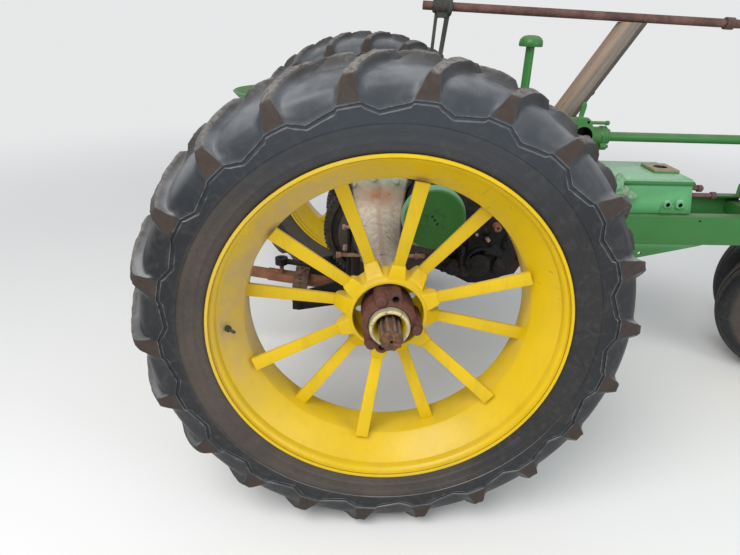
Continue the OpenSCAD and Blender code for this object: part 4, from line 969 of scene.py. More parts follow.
def line_offset(index, share, down, steep):
    """Distance of a line from its lug's middle, as a share of the pitch, and its height on the lug."""
    top, foot = lug_widths(share, down, steep)
    if index < len(LUG_PROFILE):
        a, b, height = LUG_PROFILE[index]
        return a * top + b * (foot - top), height
    left = LINES_PER_HALF - len(LUG_PROFILE) + 1
    return foot + (0.5 - foot) * (index - len(LUG_PROFILE) + 1) / left, 0


def pad_edge(ahead):
    """Lift of the pads' lower edge at a share of a pitch ahead of the lug."""
    for (a, low), (b, high) in zip(PAD_EDGE, PAD_EDGE[1:]):
        if a <= ahead <= b:
            return low + (high - low) * (ahead - a) / (b - a)
    return PAD_EDGE[0][1]


def tyre_sector(settings):
    """One pitch of a rear tyre, with its outward side on +Y, before it is repeated round the wheel."""
    pitch = 2 * math.pi / settings.lugs
    lines = 2 * LINES_PER_HALF
    bm = bmesh.new()
    torn = bm.verts.layers.float.new("torn")
    end_face = bm.verts.layers.float.new("end_face")
    ridge = bm.verts.layers.float.new("ridge")
    half = [((a, b), (c, d), lift) for a, b, c, d, lift in TREAD_ROWS] + [(row, row, 0) for row in SIDEWALL]
    middle = ((0, 662), (0, 689.8), 0)
    grid = []
    rows = [(-1, row) for row in reversed(half)] + [(1, middle)] + [(1, row) for row in half]
    for side, (low, high, lift) in rows:
        share = min(1.0, low[0] / SHOULDER)
        down = min(1.0, max(0.0, (END_TOP - high[1]) / (END_TOP - END_FOOT))) if low[0] > 128 else 0
        on_end = 1.0 if low[0] > 129 and high[1] > END_FOOT else 0.0
        into = min(1.0, low[0] / 20)
        nose = min(1.0, max(0.0, (24 - low[0]) / 12))
        ring = []
        for j in range(lines + 1):
            wrapped = j if j <= LINES_PER_HALF else j - lines
            own, other = (j - LINES_PER_HALF, wrapped) if side > 0 else (wrapped, j - LINES_PER_HALF)
            offset, height = line_offset(abs(own), share, down, own < 0)
            base = 0.5 if side > 0 else (0.0 if j <= LINES_PER_HALF else 1.0)
            f = (j / lines) * (1 - into) + (base + math.copysign(offset, own)) * into
            height = max(height, line_offset(abs(other), share, down, other < 0)[1] * nose)
            rise = lift * pad_edge((base - f) % 1)
            out = low[0] + (high[0] - low[0]) * height
            radius = (low[1] + rise) * (1 - height) + high[1] * height
            turn = settings.turn + pitch * f + settings.sweep * share
            vert = bm.verts.new((radius / 1000 * math.cos(turn), side * out / 1000,
                                 radius / 1000 * math.sin(turn)))
            vert[torn] = 1.0 if height > 0.9 and high[1] > 650 else 0.0
            vert[end_face] = on_end if abs(own) < 3 else 0.0
            vert[ridge] = 1.0 if low in RIDGES else 0.0
            ring.append(vert)
        grid.append(ring)
    for a, b in zip(grid, grid[1:] + grid[:1]):
        for j in range(lines):
            bm.faces.new((a[j], a[j + 1], b[j + 1], b[j]))
    return mesh_of(bm, "tyre_sector")


def rear_tyre(side, settings):
    """A rear tyre with the lugs' edges torn by noise."""
    mesh = repeat_round(tyre_sector(settings), settings.lugs, "rear_tyre_" + side + "_tread", 0.0004)
    bm = bmesh.new()
    bm.from_mesh(mesh)
    torn = bm.verts.layers.float.get("torn")
    for vert in bm.verts:
        if vert[torn] < 0.5:
            continue
        radius = math.hypot(vert.co.x, vert.co.z)
        broad = perlin(vert.co * 38 + Vector((7, 3, 5)))
        cut = settings.wear * (1.5 * max(0.0, broad) + 0.9 * max(0.0, perlin(vert.co * 130)))
        vert.co.x *= 1 - cut / radius
        vert.co.z *= 1 - cut / radius
        if abs(vert.co.y) > 0.1:
            vert.co.y -= math.copysign(cut * 0.4, vert.co.y)
    bmesh.ops.transform(bm, matrix=wheel_matrix(side), verts=bm.verts)
    bpy.data.meshes.remove(mesh)
    return from_bmesh(bm, "rear_tyre_tread_" + side, 38)


# Half of a rear rim's section, in millimetres: (radius, outward), from the flange's inner lip to the well
RIM_HALF = [
    (470.6, 127.2), (468.4, 131.6), (469.8, 134.4), (473.2, 135), (476.6, 134), (478, 130.6), (477.4, 126.6),
    (474.6, 124.2), (470, 122.6), (465.4, 119.4), (463, 114), (463, 96),
]
# Its well, and half of its lining from the well to the lip
RIM_WELL = [(402, 70.5), (400, 64), (400, -30), (402, -36.5)]
LINING_WELL = [(397, -34), (394.4, -28), (394.4, 62), (397, 68)]
LINING_HALF = [(455.6, 96), (456, 110), (457.8, 116.5), (465.4, 122), (466.6, 130.6)]
RIM_SECTION = (RIM_HALF + RIM_WELL + [(r, -y) for r, y in reversed(RIM_HALF)]
               + [(r, -y) for r, y in reversed(LINING_HALF)] + LINING_WELL + LINING_HALF)

# Half of a front tyre's section from its middle rib to the bead, in millimetres: (radius, outward)
FRONT_HALF = [
    (335, 0), (335, 9), (333.6, 11), (323, 13.4), (322.4, 15), (322.4, 21), (323, 22.6), (332, 25),
    (332.8, 27),
    (331.4, 35), (329.6, 38), (320, 41), (319, 43), (319.4, 50), (317.4, 53.5), (309, 58.4), (300, 61.4),
    (288, 63.8),
    (274, 64.8), (262, 64.8), (250, 63), (238, 60.2), (228, 56), (219, 51), (213.6, 46.4), (212.6, 42),
    (196.7, 39),
]


# Rear hubs, in millimetres from the wheel's middle: radius, and outward

BORE_R = 99
HUB_BACK, WEB_FRONT = -57, -41
SPOKE_TURN, SPOKE_PAIRS = 20.5, 6
SPOKE_ENDS = (145, 397)
SPOKE_HALF = (15.2, 19)
SPOKE_THICK = 12
# The two rows of spokes: place at the hub, place at the rim, and the socket's sections (radius, half
# width, back, front)
SPOKE_ROWS = (
    (-5, 50, ((100, 27, -46, 13), (124, 23.5, -38, 11), (143, 20.5, -22, 6.5), (149, 18, -16, 3))),
    (-40, -10, ((100, 27, -56, 13), (122, 24, -56, -3), (144, 21, -54, -25), (151, 18, -51, -30))),
)
HUB_SHELL = [(99.5, 13), (105, 15), (110, 12), (116, 3), (121, -12), (125, -30), (126, -46), (121, -57),
             (99.5, -57)]
HUB_LIP = [(98.6, 4), (98.6, 15.4), (99.8, 17.2), (102.6, 18), (106.4, 17), (109, 13.4), (107, 4)]
WEB_HOLES = (25, 188, 300)
COLLAR = [(33.5, -50), (33.5, 58), (38, 71), (42.5, 84), (45, 89), (47.5, 91), (51.5, 91.4), (54, 89),
          (56, 82), (56, -50)]
COLLAR_SPLITS = (56, 168)
# Bosses of the clamp: angle, and whether its bolt is still there
CLAMP_BOSSES = ((109, True), (79, False), (-10, True), (-129, True), (-103, False))
CLAMP_BACK, CLAMP_FRONT, CLAMP_BOLTS_R, BOSS_R = -41, 62, 76, 19
# The tyre valve's stem at the rim: start and end of the stem, end of its wide foot
VALVE_START, VALVE_END, VALVE_FOOT = (-432, 78, -8), (-408, 100, -8), (-425, 84, -8)


def hub_mesh(side):
    """The cast hub: shell, web with its holes, lip, and two rows of spokes in their sockets."""
    name = "cast_hub_" + side

    def sockets(bm):
        for i, (_, _, sections) in enumerate(SPOKE_ROWS):
            loft(bm, sections, spoke_frame(SPOKE_TURN + 180 / SPOKE_PAIRS * i))

    def spokes(bm):
        for i, (at_hub, at_rim, _) in enumerate(SPOKE_ROWS):
            ends = [(r, w, y - SPOKE_THICK / 2, y + SPOKE_THICK / 2)
                    for r, w, y in zip(SPOKE_ENDS, SPOKE_HALF, (at_hub, at_rim))]
            start = ends[0]
            slope = (at_rim - at_hub) / (SPOKE_ENDS[1] - SPOKE_ENDS[0])
            ends[0] = (start[0] - 20, start[1], start[2] - 20 * slope, start[3] - 20 * slope)
            loft(bm, ends, spoke_frame(SPOKE_TURN + 180 / SPOKE_PAIRS * i))
        bmesh.ops.bevel(bm, geom=list(bm.edges), offset=0.0016, segments=2, affect="EDGES", profile=0.6)

    def web(bm):
        ring(bm, [(57.2, HUB_BACK), (57.2, WEB_FRONT), (BORE_R + 2, WEB_FRONT), (BORE_R + 2, HUB_BACK)])

    def holes(bm):
        for angle in WEB_HOLES:
            rod(bm, angle, 78, 13, HUB_BACK - 10, WEB_FRONT + 10)

    cast = repeat_round(plain_mesh(name + "_sockets", sockets), SPOKE_PAIRS, name + "_sockets", 0)
    shell = plain_mesh(name + "_shell", lambda bm: bm.from_mesh(cast), lambda bm: ring(bm, HUB_SHELL))
    skin = cast_together(shell, name + "_skin", 0.0026, 5)
    disc = cut_out(plain_mesh(name + "_web", web), name + "_web", holes)
    lip = plain_mesh(name + "_lip", lambda bm: ring(bm, HUB_LIP),
                     lambda bm: ring(bm, [(98.6, WEB_FRONT - 1), (98.6, 6), (100.4, 6),
                                          (100.4, WEB_FRONT - 1)]))
    bars = repeat_round(plain_mesh(name + "_spokes", spokes), SPOKE_PAIRS, name + "_spokes", 0)
    return joined(name, (skin, disc, lip, bars), wheel_matrix(side))


def clamp_meshes(side):
    """The clamp's casting with its bolts, and its split collar."""
    name = "clamp_" + side

    def casting(bm):
        first, last = CLAMP_BOSSES[2][0] - 8, CLAMP_BOSSES[4][0] + 368
        back, front = CLAMP_BACK, CLAMP_FRONT
        ring(bm, [(57, back), (57, front + 8), (60, front + 10), (64, front + 7), (71, front - 4),
                  (75, front - 12),
                  (75, back)], 64, start=first, sweep=last - first)
        ring(bm, [(62, back), (62, front - 7), (84, front - 9), (90, front - 22), (92, back)], 12,
             start=CLAMP_BOSSES[1][0], sweep=CLAMP_BOSSES[0][0] - CLAMP_BOSSES[1][0])
        ring(bm, [(62, back), (62, front - 9), (86, front - 12), (90, back)], 12,
             start=CLAMP_BOSSES[3][0], sweep=CLAMP_BOSSES[4][0] - CLAMP_BOSSES[3][0])
        for angle, _ in CLAMP_BOSSES:
            rod(bm, angle, CLAMP_BOLTS_R, BOSS_R, CLAMP_BACK, CLAMP_FRONT)

    def holes(bm):
        for angle, bolted in CLAMP_BOSSES:
            if not bolted:
                rod(bm, angle, CLAMP_BOLTS_R, 9.6, CLAMP_FRONT - 40, CLAMP_FRONT + 10)

    def bolts(bm):
        for angle, bolted in CLAMP_BOSSES:
            if bolted:
                rod(bm, angle, CLAMP_BOLTS_R, 14.6, CLAMP_FRONT - 4, CLAMP_FRONT + 15, 40, 2.6)

    def slits(bm):
        for angle in COLLAR_SPLITS:
            loft(bm, ((20, 1.6, 30, 100), (70, 1.6, 30, 100)), spoke_frame(angle))

    skin = cut_out(cast_together(plain_mesh(name, casting), name + "_skin", 0.0021, 4), name + "_skin", holes)
    collar = cut_out(plain_mesh("collar_" + side, lambda bm: ring(bm, COLLAR)), "collar_" + side, slits)
    matrix = wheel_matrix(side)
    return (joined(name, (skin, plain_mesh(name + "_bolts", bolts)), matrix, 42),
            joined("collar_" + side, (collar,), matrix, 30))


# Fittings of the chassis, in millimetres from the middle of the rear axle: forward, left and up

def casting_piece(name, casting, voxel, passes, degrees, holes=None, details=None):
    """A casting of the chassis: solids joined into one skin, with holes cut out and sharp details added."""
    skin = cast_together(plain_mesh(name, casting), name + "_skin", voxel, passes)
    if holes:
        skin = cut_out(skin, name + "_skin", holes)
    sharp = (plain_mesh(name + "_details", details),) if details else ()
    return joined(name, (skin,) + sharp, AT_AXLE, degrees)


BRAKE_X, BRAKE_Z, BRAKE_FACE = 174, 147, 452.4
BRAKE_COVER = [(0, 406), (105, 406), (109, 409), (109.4, 414), (104.8, 441), (103.2, 446.4), (99.8, 450.4),
               (95, BRAKE_FACE), (29, BRAKE_FACE), (28, 451.2), (26.6, 451.2), (25.6, BRAKE_FACE),
               (0, BRAKE_FACE)]
RIVET = [(0, -2), (6.8, -2), (6.8, 0), (6.2, 2), (4, 3.8), (0, 4.4)]
# Radius of the circle of rivets, and the steps forward and down between the three small holes
RIVETS_R, HOLE_STEP_X, HOLE_STEP_Z = 40, 8.9, -12.7


def brake_mesh(name):
    """Both brake covers with six rivets and three small holes."""
    def covers(bm):
        for side in (-1, 1):
            turned(bm, BRAKE_COVER, (BRAKE_X, 0, BRAKE_Z), (0, side, 0), 96)

    def rivets(bm):
        for side in (-1, 1):
            for turn in range(26, 386, 60):
                a = math.radians(turn)
                x, z = BRAKE_X + RIVETS_R * math.cos(a), BRAKE_Z + RIVETS_R * math.sin(a)
                turned(bm, RIVET, (x, side * BRAKE_FACE, z), (0, side, 0), 20)

    def holes(bm):
        for side in (-1, 1):
            for step in (-1, 0, 1):
                x, z = BRAKE_X + step * HOLE_STEP_X, BRAKE_Z + step * HOLE_STEP_Z
                bar(bm, (x, side * 438, z), (x, side * 460, z), 4.6)

    plates = cut_out(plain_mesh(name, covers), name + "_plates", holes)
    return joined(name, (plates, plain_mesh(name + "_rivets", rivets)), AT_AXLE, 34)


GOVERNOR_X, GOVERNOR_Z, FAN_Z = 744, 376, 353
GOVERNOR_FLANGE = [(-75, 58), (-60, 68), (11, 68), (27, 55), (37, 20), (42, -5), (39, -30), (26, -50),
                   (0, -62),
                   (-40, -62), (-75, -40)]


def governor_mesh(name):
    """The governor's housing with its open bore, the drum for the fan's tube, an oil pipe and a lever."""
    x, z = GOVERNOR_X, GOVERNOR_Z

    def casting(bm):
        slab(bm, [(x + a, z + b) for a, b in GOVERNOR_FLANGE], -150, -130)
        slab(bm, [(x - 94, 272), (700, 272), (x + 46, 322), (x + 46, z + 34), (x + 32, 424), (x - 84, 424),
                  (x - 94, 412)], -100, 100)
        bar(bm, (x, -134, z), (x, -60, z), 47)
        bar(bm, (x, 60, z), (x, 114, z), 58)
        for low, high, r in ((x + 20, 893, 36.5), (868, 880, 41), (883, 893, 41)):
            bar(bm, (low, 0, FAN_Z), (high, 0, FAN_Z), r, 2.5, 56)
        for left in (-26, 26):
            bar(bm, (866, left, FAN_Z - 34), (893, left, FAN_Z - 34), 14, 2)
        bar(bm, (x + 10, -30, z + 33), (882, -30, z + 33), 6.6)
        slab(bm, [(x - 24, 420), (x - 10, 420), (x, 484), (x - 4, 498), (x - 14, 498), (x - 20, 484)], -141,
             -131)
        slab(bm, [(x - 40, 420), (x - 2, 420), (x - 6, 432), (x - 32, 432)], -145, -118)

    def bore(bm):
        bar(bm, (x, -170, z), (x, -80, z), 36, 0.4, 64)
        bar(bm, (x + 12, -170, z + 53), (x + 12, -136, z + 53), 4.6)

    def details(bm):
        bar(bm, (872, -30, z + 33), (888, -30, z + 33), 8.8, 3)
        for left in (-26, 26):
            bar(bm, (893, left, FAN_Z - 34), (901, left, FAN_Z - 34), 7.5, 1, 6)

    return casting_piece(name, casting, 0.0024, 3, 40, bore, details)


BREATHER = [(0, 266), (33, 266), (33, 283), (30, 286), (15.6, 287), (15.2, 674), (40, 674), (41.4, 676),
            (41.6, 686),
            (39.4, 696), (33, 704), (24, 709), (12, 711), (0, 711.4)]
BREATHER_FOOT = (526, -75, 0)
STEERING_SLOPE = math.radians(1.25)


def support_mesh(name):
    """The bearing of the steering shaft on its two struts."""
    along = Vector((math.cos(STEERING_SLOPE), 0, -math.sin(STEERING_SLOPE)))
    centre = Vector((212, 0, 794))

    def casting(bm):
        bar(bm, centre - along * 34, centre + along * 22, 23, 2, 48)
        bar(bm, centre + along * 18, centre + along * 33, 31, 3, 48)
        slab(bm, [(190, 772), (236, 772), (228, 756), (196, 756)], -12, 12)
        bar(bm, (166, 0, 300), (192, 0, 774), 6.2)
        slab(bm, [(176, 300), (188, 300), (241, 775), (224, 775)], -7, 7)
        slab(bm, [(149, 294), (201, 294), (201, 307), (149, 307)], -30, 30)

    return casting_piece(name, casting, 0.0018, 2, 40)


# Rods and bolts beside the axle housings: start, end and radius on the left side
SIDE_RODS = [
    ((-152, 250, -66), (150, 250, -66), 7.5), ((-156, 250, -66), (-136, 250, -66), 11),
    ((142, 250, -66), (152, 250, -66), 13), ((152, 250, -66), (180, 250, -66), 8.5),
    ((120, 250, -14), (150, 250, -14), 8), ((138, 250, -14), (174, 250, -14), 11),
    ((-130, 250, 45), (-100, 250, 45), 6.5), ((-134, 250, 45), (-122, 250, 45), 10),
    ((-122, 250, -46), (-122, 250, -26), 9),
]
SIDE_POSTS = [((-108, 243, 60), (-108, 243, -150), 8), ((-78, 240, -50), (-78, 240, -150), 13)]
# Wire hook at the top of the prop
HOOK = [((790, -8, 492), (813, -8, 513), 3.2), ((812, -8, 511), (816, -8, 521), 3.2)]


def bars_mesh(name, bars, sides=(1,)):
    """Round bars of (start, end, radius), repeated on the sides given."""
    def build(bm):
        for side in sides:
            for start, end, r in bars:
                bar(bm, (start[0], side * start[1], start[2]), (end[0], side * end[1], end[2]), r)
    return joined(name, (plain_mesh(name, build),), AT_AXLE)


def breather_mesh(name):
    """The breather pipe with its round cap."""
    def pipe(bm):
        turned(bm, BREATHER, BREATHER_FOOT, (0, 0, 1), 64)
    return joined(name, (plain_mesh(name, pipe),), AT_AXLE, 40)


# Height of the block's top and of the stretch below it that leans, and how far its foot leans, in metres
BLOCK_TOP, BLOCK_H, BLOCK_LEAN = 0.222, 0.139, 0.027
BLOCK_PAD = [(1108, 88), (1108, 124), (1113, 134), (1122, 140), (1133, 139), (1142, 132), (1149, 120),
             (1157, 116),
             (1159, 130), (1166, 141), (1177, 146), (1188, 142), (1196, 131), (1203, 112), (1216, 88)]
# The bolt holes low on the block's sides: places forward, height and radius
BLOCK_HOLES, BLOCK_HOLES_Z, BLOCK_HOLE_R = (1128, 1177), 125, 8


def block_mesh(name):
    """The cylinder block, leaning forward towards its foot, with the pads round the bolt holes low on its
    sides."""
    mesh = rounded_copy("cylinder_block", 0.004)
    for vert in mesh.vertices:
        if vert.co.x - AXLE.x > 1.200:
            vert.co.x += BLOCK_LEAN * min(1, max(0, (BLOCK_TOP - vert.co.z + AXLE.z) / BLOCK_H))

    def pads(bm):
        for side in (-1, 1):
            slab(bm, BLOCK_PAD, side * 140, side * 149)
            for x, out, r, edge in ((BLOCK_HOLES[1], 157, 18.5, 2), (BLOCK_HOLES[0], 150.5, 13, 1)):
                bar(bm, (x, side * 140, BLOCK_HOLES_Z), (x, side * out, BLOCK_HOLES_Z), r, edge)

    def holes(bm):
        for side in (-1, 1):
            for x in BLOCK_HOLES:
                bar(bm, (x, side * 110, BLOCK_HOLES_Z), (x, side * 170, BLOCK_HOLES_Z), BLOCK_HOLE_R)

    pad = casting_piece(name + "_pad", pads, 0.0016, 2, 38, holes)
    return joined(name, (mesh, pad), Matrix.Identity(4), 40)


# Lumps of castings: middle, half sizes, roughness and the seed of its noise
FITTING_LUMPS = [((906, -158, 210), (29, 20, 33), 0.34, 3), ((934, -157, 176), (26, 17, 22), 0.34, 5),
                 ((962, -156, 160), (28, 15, 19), 0.36, 8)]
BEARING_LUMPS = [
    ((374, -212, 14), (15, 16, 22), 0.35, 2), ((404, -214, 34), (20, 14, 16), 0.35, 5),
    ((446, -214, -54), (34, 20, 22), 0.35, 7), ((330, -206, -84), (16, 22, 52), 0.35, 9),
    ((296, -204, -128), (42, 26, 34), 0.35, 12), ((252, -196, -112), (30, 18, 26), 0.35, 15),
    ((344, -206, -140), (34, 22, 26), 0.35, 18), ((476, -208, -116), (26, 20, 34), 0.35, 21),
    ((500, -204, -20), (18, 16, 40), 0.35, 24),
]


def fitting_mesh(name):
    """Rough fitting at the rear of the block's right side."""
    def lumps(bm):
        for values in FITTING_LUMPS:
            lump(bm, *values)
    return casting_piece(name, lumps, 0.0020, 1, 50)


CRANK_X, CRANK_Z = 446, 52
# The smaller round cover below the crankshaft
COVER_X, COVER_Z = 396, -114
BEARING_PLATE = [(454, -106), (570, -106), (575, -8), (575, 120), (552, 145), (454, 145)]
BEARING_BODY = [(338, -128), (352, -158), (440, -166), (520, -150), (540, -60), (500, 40), (420, 70),
                (366, 60),
                (352, 20), (350, -60)]
# Bolts of the bearing castings: forward, up, radius, and how far out their heads reach
COVER_BOLTS = [(375, 16, 5.5, 234), (421, -5, 7, 236), (560, 100, 8, 224), (560, -80, 8, 224)]


def bearing_mesh(name):
    """The uneven greasy castings that carry the crankshaft on the right side of the case."""
    def casting(bm):
        slab(bm, BEARING_PLATE, -207, -184)
        slab(bm, BEARING_BODY, -206, -184)
        bar(bm, (CRANK_X, -184, CRANK_Z), (CRANK_X, -225, CRANK_Z), 34, 3, 48)
        for out, r in ((228, 47), (236, 31)):
            bar(bm, (COVER_X, -184, COVER_Z), (COVER_X, -out, COVER_Z), r, 4, 48)
        ring(bm, [(52, -184), (52, -230), (55, -234), (60, -234), (63, -230), (63, -184)], 32, (404, -100),
             38, 150)
        for x, z, r, _ in COVER_BOLTS:
            bar(bm, (x, -184, z), (x, -214, z), r + 8, 2)
        for values in BEARING_LUMPS:
            lump(bm, *values)

    def bore(bm):
        bar(bm, (CRANK_X, -150, CRANK_Z), (CRANK_X, -240, CRANK_Z), 16.5, 0.4, 64)

    return casting_piece(name, casting, 0.0024, 2, 50, bore)


def cover_bolts_mesh(name):
    def bolts(bm):
        for x, z, r, out in COVER_BOLTS:
            bar(bm, (x, -206, z), (x, -out, z), r, 1.5)
    return joined(name, (plain_mesh(name, bolts),), AT_AXLE)


# Small holes cut through the rails and plates: forward, up, radius and sides (-1 right, 1 left)
SIDE_HOLES = {
    "frame_rails": [(1263, 67, 5, (-1, 1)), (1599, 28, 5, (1,))],
    "rail_plates": [(1053, -72, 7, (-1, 1))],
}
# The rear axle's bore in the case: radius that its points lie within, and how much wider it gets, in metres
CASE_BORE, CASE_BORE_GAP = 0.034, 0.0003


def drilled(node, radius):
    """A rounded copy of a CAD node with its small holes cut through."""
    def holes(bm):
        for x, z, r, sides in SIDE_HOLES[node]:
            for side in sides:
                bar(bm, (x, side * 140, z), (x, side * 200, z), r, 0.2)

    return smooth(cut_out(rounded_copy(node, radius), node + "_drilled", holes, AT_AXLE), 40)


# Operators

FINISHES = {}
BODIES = {"right": "right_drive", "left": "left_drive"}


class TRACTOR_OT_finishes(bpy.types.Operator):
    """Makes the paints, rust, grease, rubber and timber"""
    bl_idname = "tractor.finishes"
    bl_label = "Finishes"

    def execute(self, context):
        FINISHES.update(make_finishes())
        for name, (finish, _) in DRESS.items():
            dress(name, finish)
        return {"FINISHED"}


def dress(node, finish):
    """Gives a CAD node's own object a finish."""
    target = NODES[node]
    if not target.data.materials:
        target.data.materials.append(None)
    for slot in target.material_slots:
        slot.link = "OBJECT"
        slot.material = FINISHES[finish]


# Finish of each CAD node, and the radius that its casting's edges are rounded to (0 keeps the CAD mesh)
DRESS = {
    "main_case": ("case", 0.003), "case_cover": ("green", 0.002), "axle_housing_right": ("housing", 0.002),
    "axle_housing_left": ("housing", 0.002), "brake_covers": ("cover", 0), "bearing_housing": ("case", 0),
    "cylinder_block": ("block", 0), "head_studs": ("shaft", 0), "governor_housing": ("governor", 0),
    "fan_tube": ("green", 0.002), "breather": ("green", 0), "frame_rails": ("green", 0.0015),
    "rail_plates": ("green", 0.0015), "front_support": ("green", 0.004), "radiator_core": ("core", 0),
    "radiator_tanks": ("green", 0.012), "steering_support": ("olive", 0), "wood_prop": ("timber", 0.003),
    "drawbar": ("rust", 0.003), "drawbar_quadrant": ("brown", 0.0015), "drawbar_hanger": ("grease", 0.003),
    "seat": ("green", 0), "seat_spring": ("rust", 0.001),
    "axle_shaft_right": ("spline_right", 0), "axle_shaft_left": ("spline_left", 0),
    "bull_gear_right": ("gear", 0),
    "bull_gear_left": ("gear", 0), "hub_clamp_right": ("maroon", 0), "hub_clamp_left": ("maroon", 0),
    "rear_hub_right": ("cast_yellow", 0), "rear_hub_left": ("cast_yellow", 0),
    "rear_rim_right": ("rim_right", 0), "rear_rim_left": ("rim_left", 0),
    "rear_tyre_right": ("tyre_right", 0), "rear_tyre_left": ("tyre_left", 0),
    "crankshaft": ("rust", 0), "flywheel": ("grease", 0.002), "fan": ("green", 0),
    "steering_shaft": ("shaft", 0),
    "front_yoke": ("green", 0.003), "front_rim_right": ("yellow", 0), "front_rim_left": ("yellow", 0),
    "front_tyre_right": ("front_tyre_right", 0), "front_tyre_left": ("front_tyre_left", 0),
}


class TRACTOR_OT_rear_tyres(bpy.types.Operator):
    """Builds both rear tyres with their lugs, pads and sidewall ridges"""
    bl_idname = "tractor.rear_tyres"
    bl_label = "Rear tyres"

    def execute(self, context):
        for side, body in BODIES.items():
            place_object("tread_" + side, rear_tyre(side, context.scene.tractor_tyre), body,
                         FINISHES["tyre_" + side],
                         ["rear_tyre_" + side])
        return {"FINISHED"}


class TRACTOR_OT_rear_rims(bpy.types.Operator):
    """Builds both rear rims with a rolled flange, a bead seat and a deep well, and their valves"""
    bl_idname = "tractor.rear_rims"
    bl_label = "Rear rims"

    def execute(self, context):
        for side, body in BODIES.items():
            name = "rolled_rim_" + side
            rim = plain_mesh(name, lambda bm: ring(bm, RIM_SECTION, 192))
            place_object(name, joined(name, (rim,), Matrix.Translation(WHEEL_CENTRE[side]), 40), body,
                         FINISHES["rim_" + side], ["rear_rim_" + side])
            name = "valve_" + side
            valve = plain_mesh(name, lambda bm: bar(bm, VALVE_START, VALVE_END, 4.4),
                               lambda bm: bar(bm, VALVE_START, VALVE_FOOT, 9))
            place_object(name, joined(name, (valve,), wheel_matrix(side)), body, FINISHES["olive"])
        return {"FINISHED"}


class TRACTOR_OT_rear_hubs(bpy.types.Operator):
    """Builds both cast hubs with their spokes, the clamps with their bolts, and the split collars"""
    bl_idname = "tractor.rear_hubs"
    bl_label = "Rear hubs"

    def execute(self, context):
        for side, body in BODIES.items():
            clamp, collar = clamp_meshes(side)
            place_object("cast_hub_" + side, hub_mesh(side), body, FINISHES["cast_yellow"],
                         ["rear_hub_" + side])
            place_object("clamp_" + side, clamp, body, FINISHES["maroon"],
                         ["hub_clamp_" + side])
            place_object("collar_" + side, collar, body, FINISHES["collar_" + side])
        return {"FINISHED"}


class TRACTOR_OT_front_wheels(bpy.types.Operator):
    """Builds the front tyres with their ribs"""
    bl_idname = "tractor.front_wheels"
    bl_label = "Front tyres"

    def execute(self, context):
        outline = FRONT_HALF + [(r, -y) for r, y in reversed(FRONT_HALF[1:])]
        axes = {joint["name"]: joint["axis"] for joint in frame["joints"]}
        for side in BODIES:
            name, node = "ribbed_tyre_" + side, "front_tyre_" + side
            matrix = Matrix.Translation(node_centre(node)) @ y_to(axes["front_wheel_" + side + "_spin"])
            mesh = joined(name, (plain_mesh(name, lambda bm: ring(bm, outline, 144)),), matrix, 32)
            place_object(name, mesh, "front_wheel_" + side, FINISHES[node], [node])
        return {"FINISHED"}


class TRACTOR_OT_castings(bpy.types.Operator):
    """Rounds the edges of the castings, plates and forgings"""
    bl_idname = "tractor.castings"
    bl_label = "Castings"

    def execute(self, context):
        for node, (finish, radius) in DRESS.items():
            if radius:
                body = NODES[node]["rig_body"]
                mesh = drilled(node, radius) if node in SIDE_HOLES else rounded_copy(node, radius)
                if node == "main_case":
                    widen_bore(mesh, CASE_BORE, CASE_BORE_GAP)
                place_object(node + "_cast", mesh, body, FINISHES[finish], [node])
        return {"FINISHED"}


class TRACTOR_OT_fittings(bpy.types.Operator):
    """Builds the brake covers, block, governor, breather, steering support and the small rods and bolts"""
    bl_idname = "tractor.fittings"
    bl_label = "Fittings"

    def execute(self, context):
        for name, make, finish, slot, *stands_for in FITTINGS:
            place_object(name, make(name), "chassis", FINISHES[finish], stands_for)
        return {"FINISHED"}


# Fittings of the chassis: piece, what makes its mesh, finish, the record's slot, and the CAD node that it
# stands for
FITTINGS = (
    ("brake_cover_pair", brake_mesh, "cover", "green_paint", "brake_covers"),
    ("governor_casting", governor_mesh, "governor", "green_paint", "governor_housing"),
    ("breather_cap", breather_mesh, "green", "green_paint", "breather"),
    ("support_struts", support_mesh, "olive", "green_paint", "steering_support"),
    ("block_casting", block_mesh, "block", "block_paint", "cylinder_block"),
    ("rear_fitting", fitting_mesh, "fitting", "block_paint"),
    ("side_rods", lambda name: bars_mesh(name, SIDE_RODS, (-1, 1)), "bolt", "rusty_steel"),
    ("side_posts", lambda name: bars_mesh(name, SIDE_POSTS, (-1, 1)), "grease", "greasy_iron"),
    ("prop_hook", lambda name: bars_mesh(name, HOOK), "olive", "rusty_steel"),
    ("bearing_castings", bearing_mesh, "case", "greasy_iron", "bearing_housing"),
    ("cover_bolts", cover_bolts_mesh, "bolt", "rusty_steel"),
)


# Colour of the backdrop, and of the floor far from the tractor
BACKDROP = (0.80, 0.805, 0.81, 1)


# Two lamps: name, place, what it points at, size, share of the main lamp's power, colour
LAMPS = (
    ("main_lamp", (-2.4, -3.2, 4.2), (0.1, 0, 0.7), 3.2, 1, (1.0, 0.985, 0.96)),
    ("side_lamp", (3.0, -3.6, 2.4), (0.2, 0, 0.6), 3.0, 0.35, (0.93, 0.96, 1.0)),
)
# The camera's place from the rear axle's centre and its axes, as they were fitted to the photograph
CAMERA_FROM_AXLE = (-0.121834, -2.2155, 0.7556)
CAMERA_AXES = ((0.9989, -0.0345, 0.0316), (-0.0140, 0.4224, 0.9063), (-0.0446, -0.9057, 0.4215))


def blend_shaders(tree, share, first, second, output):
    """Shows the second shader by a share, and the first for the rest."""
    blend = tree.nodes.new("ShaderNodeMixShader")
    for index, socket in enumerate((share, first.outputs[0], second.outputs[0])):
        tree.links.new(socket, blend.inputs[index])
    tree.links.new(blend.outputs[0], tree.nodes[output].inputs["Surface"])


